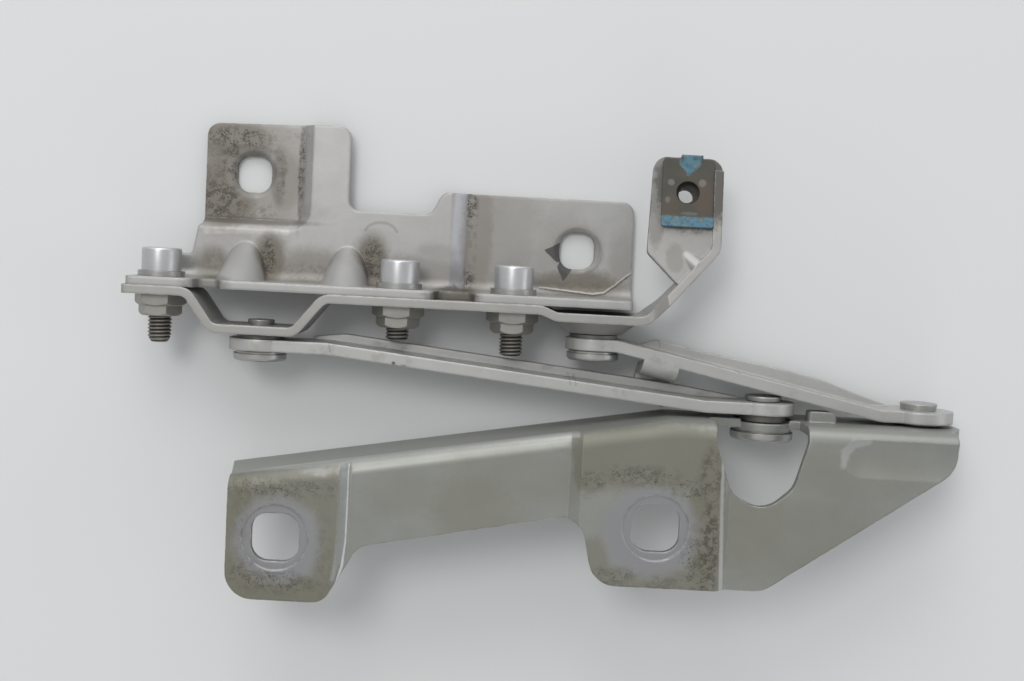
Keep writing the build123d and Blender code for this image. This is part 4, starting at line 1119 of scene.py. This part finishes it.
def grid_mesh(name, points, closed_round):
    """Mesh from a grid of points, rows by columns; the columns may close on themselves."""
    rows, columns = points.shape[:2]
    index = np.arange(rows * columns).reshape(rows, columns)
    if closed_round:
        right = np.roll(index, -1, axis=1)
        first, second = index[:-1], right[:-1]
        third, fourth = right[1:], index[1:]
    else:
        first, second = index[:-1, :-1], index[:-1, 1:]
        third, fourth = index[1:, 1:], index[1:, :-1]
    faces = np.stack([first, second, third, fourth], axis=-1).reshape(-1, 4)
    mesh = bpy.data.meshes.new(name)
    mesh.vertices.add(rows * columns)
    mesh.vertices.foreach_set("co", points.reshape(-1).astype(np.float32))
    mesh.loops.add(faces.size)
    mesh.loops.foreach_set("vertex_index", faces.reshape(-1).astype(np.int32))
    mesh.polygons.add(len(faces))
    mesh.polygons.foreach_set("loop_start", np.arange(0, faces.size, 4, dtype=np.int32))
    mesh.polygons.foreach_set("use_smooth", np.ones(len(faces), dtype=bool))
    mesh.update(calc_edges=True)
    mesh.validate()
    return mesh


def new_object(name, data):
    """An object of the scene."""
    made = bpy.data.objects.new(name, data)
    bpy.context.scene.collection.objects.link(made)
    return made


def piece(name, mesh, material, body):
    """A shown piece that rides a body."""
    made = new_object(name, mesh)
    mesh.materials.append(material)
    mesh.set_sharp_from_angle(angle=SHARP_ANGLE)
    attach(made, body)
    return made


def add_values(mesh, name, values):
    """Stores one number per vertex, for the materials."""
    stored = mesh.attributes.new(name, "FLOAT", "POINT")
    stored.data.foreach_set("value", values.reshape(-1).astype(np.float32))


def hexagon_radius(angle, corner):
    """Distance from the middle to a hexagon's side, at each angle."""
    side = TURN / SOCKET_SIDES
    return corner * math.cos(side / 2.0) / np.cos(np.mod(angle, side) - side / 2.0)


def bolt_points(low, high, seat, tip_length, settings):
    """Rings of a socket-head bolt along Y, how deep each point is in the thread's groove, and
    whether it is on the thread.

    From the socket's floor out over the head's rounded edge, down its side to the seat and along
    the shank. On the shank the radius follows a saw of the axial place plus the angle's share of
    one pitch, so that the crest winds round as a helix. The last rings close the tip.
    """
    angle = np.arange(ROUND_POINTS) * TURN / ROUND_POINTS
    middle_x = (low[0] + high[0]) / 2.0
    middle_z = (low[2] + high[2]) / 2.0
    top = seat + settings.head_height
    socket = hexagon_radius(angle, settings.socket)
    even = np.ones(ROUND_POINTS)
    none = np.zeros(ROUND_POINTS)
    rows = [
        (top - settings.socket_depth, socket * FLOOR_SHARE, none, none),
        (top - settings.socket_depth, socket, none, none),
        (top - MOUTH_BEVEL, socket, none, none),
        (top, socket + MOUTH_BEVEL, none, none),
    ]
    edge = settings.head_edge
    for step in np.linspace(0.0, math.pi / 2.0, EDGE_STEPS):
        ring_radius = settings.head_radius - edge + edge * math.sin(step)
        rows.append((top - edge + edge * math.cos(step), even * ring_radius, none, none))
    rows.append((seat, even * settings.head_radius, none, none))
    rows.append((seat, even * settings.crest, none, even))
    tip = low[1]
    steps = int((seat - tip) / settings.pitch * TURN_RINGS)
    for place in np.linspace(seat - settings.pitch * THREAD_START, tip, steps):
        phase = np.mod(place / settings.pitch + angle / TURN, 1.0)
        crest = np.clip(SAW_TOP - SAW_SLOPE * np.abs(phase - SAW_MIDDLE), 0.0, 1.0)
        groove = 1.0 - crest
        radius = settings.crest - settings.thread_depth * groove
        share = min(1.0, (place - tip) / tip_length)
        lead = settings.crest - settings.tip_inset * (1.0 - share) ** 2
        rows.append((place, np.minimum(radius, lead), groove, even))
    rows.append((tip, even * TIP_POINT, none, even))
    points = np.zeros((len(rows), ROUND_POINTS, 3))
    for row, (place, radius, _, _) in enumerate(rows):
        points[row, :, 0] = middle_x + radius * np.cos(angle)
        points[row, :, 1] = place
        points[row, :, 2] = middle_z + radius * np.sin(angle)
    grooves = np.stack([groove for _, _, groove, _ in rows])
    threads = np.stack([thread for _, _, _, thread in rows])
    return points, grooves, threads


class HINGE_OT_bolts(bpy.types.Operator):
    """Builds the three threaded bolts"""

    bl_idname = "hinge.bolts"
    bl_label = "Threaded bolts"

    def execute(self, context):
        settings = context.scene.hinge_hardware
        tips = (settings.long_tip, settings.short_tip, settings.short_tip)
        for number, tip_length in zip(("1", "2", "3"), tips):
            low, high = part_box("flange_bolt_" + number)
            seat = high[1] - settings.head_height
            points, grooves, threads = bolt_points(low, high, seat, tip_length, settings)
            mesh = grid_mesh("threaded_bolt_" + number, points, True)
            add_values(mesh, GROOVE, grooves)
            add_values(mesh, THREAD, threads)
            zinc = frame["nodes"]["flange_bolt_" + number].data.materials[0]
            made = piece("threaded_bolt_" + number, mesh, zinc, "body_side")
            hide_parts("flange_bolt_" + number)
        return {"FINISHED"}


# Stage


def stage_floor(settings):
    """The pale table, a wide flat grid."""
    line = np.linspace(-FLOOR_REACH, FLOOR_REACH, FLOOR_POINTS)
    across, along = np.meshgrid(line, line)
    points = np.stack([across, along, np.full_like(across, settings.floor_z)], axis=-1)
    mesh = grid_mesh("table", points, False)
    material = bpy.data.materials.new("table")
    shader = new_nodes(material)[1]
    shader.inputs["Base Color"].default_value = (*settings.floor_tone, 1.0)
    shader.inputs["Roughness"].default_value = FLOOR_ROUGH
    shader.inputs["Specular IOR Level"].default_value = FLOOR_GLOSS
    mesh.materials.append(material)
    table = new_object("table", mesh)


def area_light(name, place, size, colour, power):
    """A square soft light that looks at the object's middle."""
    light = bpy.data.lights.new(name, "AREA")
    light.shape = "SQUARE"
    light.size = size
    light.energy = power
    light.color = colour
    lamp = new_object(name, light)
    way = Vector(LIGHT_TARGET) - Vector(place)
    lamp.rotation_mode = "QUATERNION"
    lamp.rotation_quaternion = way.to_track_quat("-Z", "Y")
    lamp.location = place


def set_world(strength, window_strength):
    """Pale ambient light that is stronger towards the window at +Y."""
    world = bpy.data.worlds.new("studio")
    bpy.context.scene.world = world
    world.use_nodes = True
    tree = world.node_tree
    tree.nodes.clear()
    output = tree.nodes.new("ShaderNodeOutputWorld")
    ambient = tree.nodes.new("ShaderNodeBackground")
    ambient.inputs["Color"].default_value = AIR_TONE
    way = tree.nodes.new("ShaderNodeTexCoord")
    axes = tree.nodes.new("ShaderNodeSeparateXYZ")
    tree.links.new(way.outputs["Generated"], axes.inputs["Vector"])
    window = remap(tree, axes.outputs["Y"], *WINDOW_RANGE)
    window = math_node(tree, "MULTIPLY", window, window_strength)
    put(tree, math_node(tree, "ADD", window, strength), ambient.inputs["Strength"])
    tree.links.new(ambient.outputs["Background"], output.inputs["Surface"])


def set_camera(settings):
    """The camera as solved from the photo: a tilt off the vertical and a roll."""
    tilt = settings.camera_tilt
    roll = settings.camera_roll
    right = Vector((1.0, 0.0, 0.0))
    up = Vector((0.0, math.cos(tilt), -math.sin(tilt)))
    back = Vector((0.0, math.sin(tilt), math.cos(tilt)))
    turned_right = math.cos(roll) * right + math.sin(roll) * up
    turned_up = math.cos(roll) * up - math.sin(roll) * right
    data = bpy.data.cameras.new("camera")
    data.sensor_width = SENSOR_WIDTH
    data.lens = settings.lens
    data.clip_start = NEAR_LIMIT
    camera = new_object("camera", data)
    turn = Matrix((turned_right, turned_up, back)).transposed()
    camera.matrix_world = Matrix.Translation(settings.camera_place) @ turn.to_4x4()
    bpy.context.scene.camera = camera


class HINGE_OT_stage(bpy.types.Operator):
    """Lays the table and sets light and camera"""

    bl_idname = "hinge.stage"
    bl_label = "Stage"

    def execute(self, context):
        settings = context.scene.hinge_stage
        stage_floor(settings)
        powers = (
            settings.overhead_power, settings.window_power, settings.side_power,
            settings.fill_power,
        )
        for light, power in zip(LIGHTS, powers):
            area_light(*light, power)
        set_world(settings.world_strength, settings.window_strength)
        set_camera(settings)
        context.scene.view_settings.view_transform = "Standard"
        return {"FINISHED"}


class HINGE_PT_panel(bpy.types.Panel):
    """Sidebar panel with the settings and steps"""

    bl_idname = "HINGE_PT_panel"
    bl_label = "Bonnet hinge"
    bl_space_type = "VIEW_3D"
    bl_region_type = "UI"
    bl_category = "Hinge"

    def draw(self, context):
        groups = (
            (context.scene.hinge_paint, "hinge.materials"),
            (context.scene.hinge_hardware, "hinge.bolts"),
            (context.scene.hinge_stage, "hinge.stage"),
        )
        for settings, step in groups:
            box = self.layout.box()
            for name in settings.__annotations__:
                box.prop(settings, name)
            box.operator(step)


CLASSES = (
    HingePaint,
    HingeHardware,
    HingeStage,
    HINGE_OT_materials,
    HINGE_OT_bolts,
    HINGE_OT_stage,
    HINGE_PT_panel,
)


def register():
    for item in CLASSES:
        bpy.utils.register_class(item)
    bpy.types.Scene.hinge_paint = bpy.props.PointerProperty(type=HingePaint)
    bpy.types.Scene.hinge_hardware = bpy.props.PointerProperty(type=HingeHardware)
    bpy.types.Scene.hinge_stage = bpy.props.PointerProperty(type=HingeStage)


def unregister():
    del bpy.types.Scene.hinge_stage
    del bpy.types.Scene.hinge_hardware
    del bpy.types.Scene.hinge_paint
    for item in reversed(CLASSES):
        bpy.utils.unregister_class(item)


def main():
    """Builds the whole scene."""
    register()
    bpy.ops.hinge.materials()
    bpy.ops.hinge.bolts()
    bpy.ops.hinge.stage()


if __name__ == "__main__":
    main()
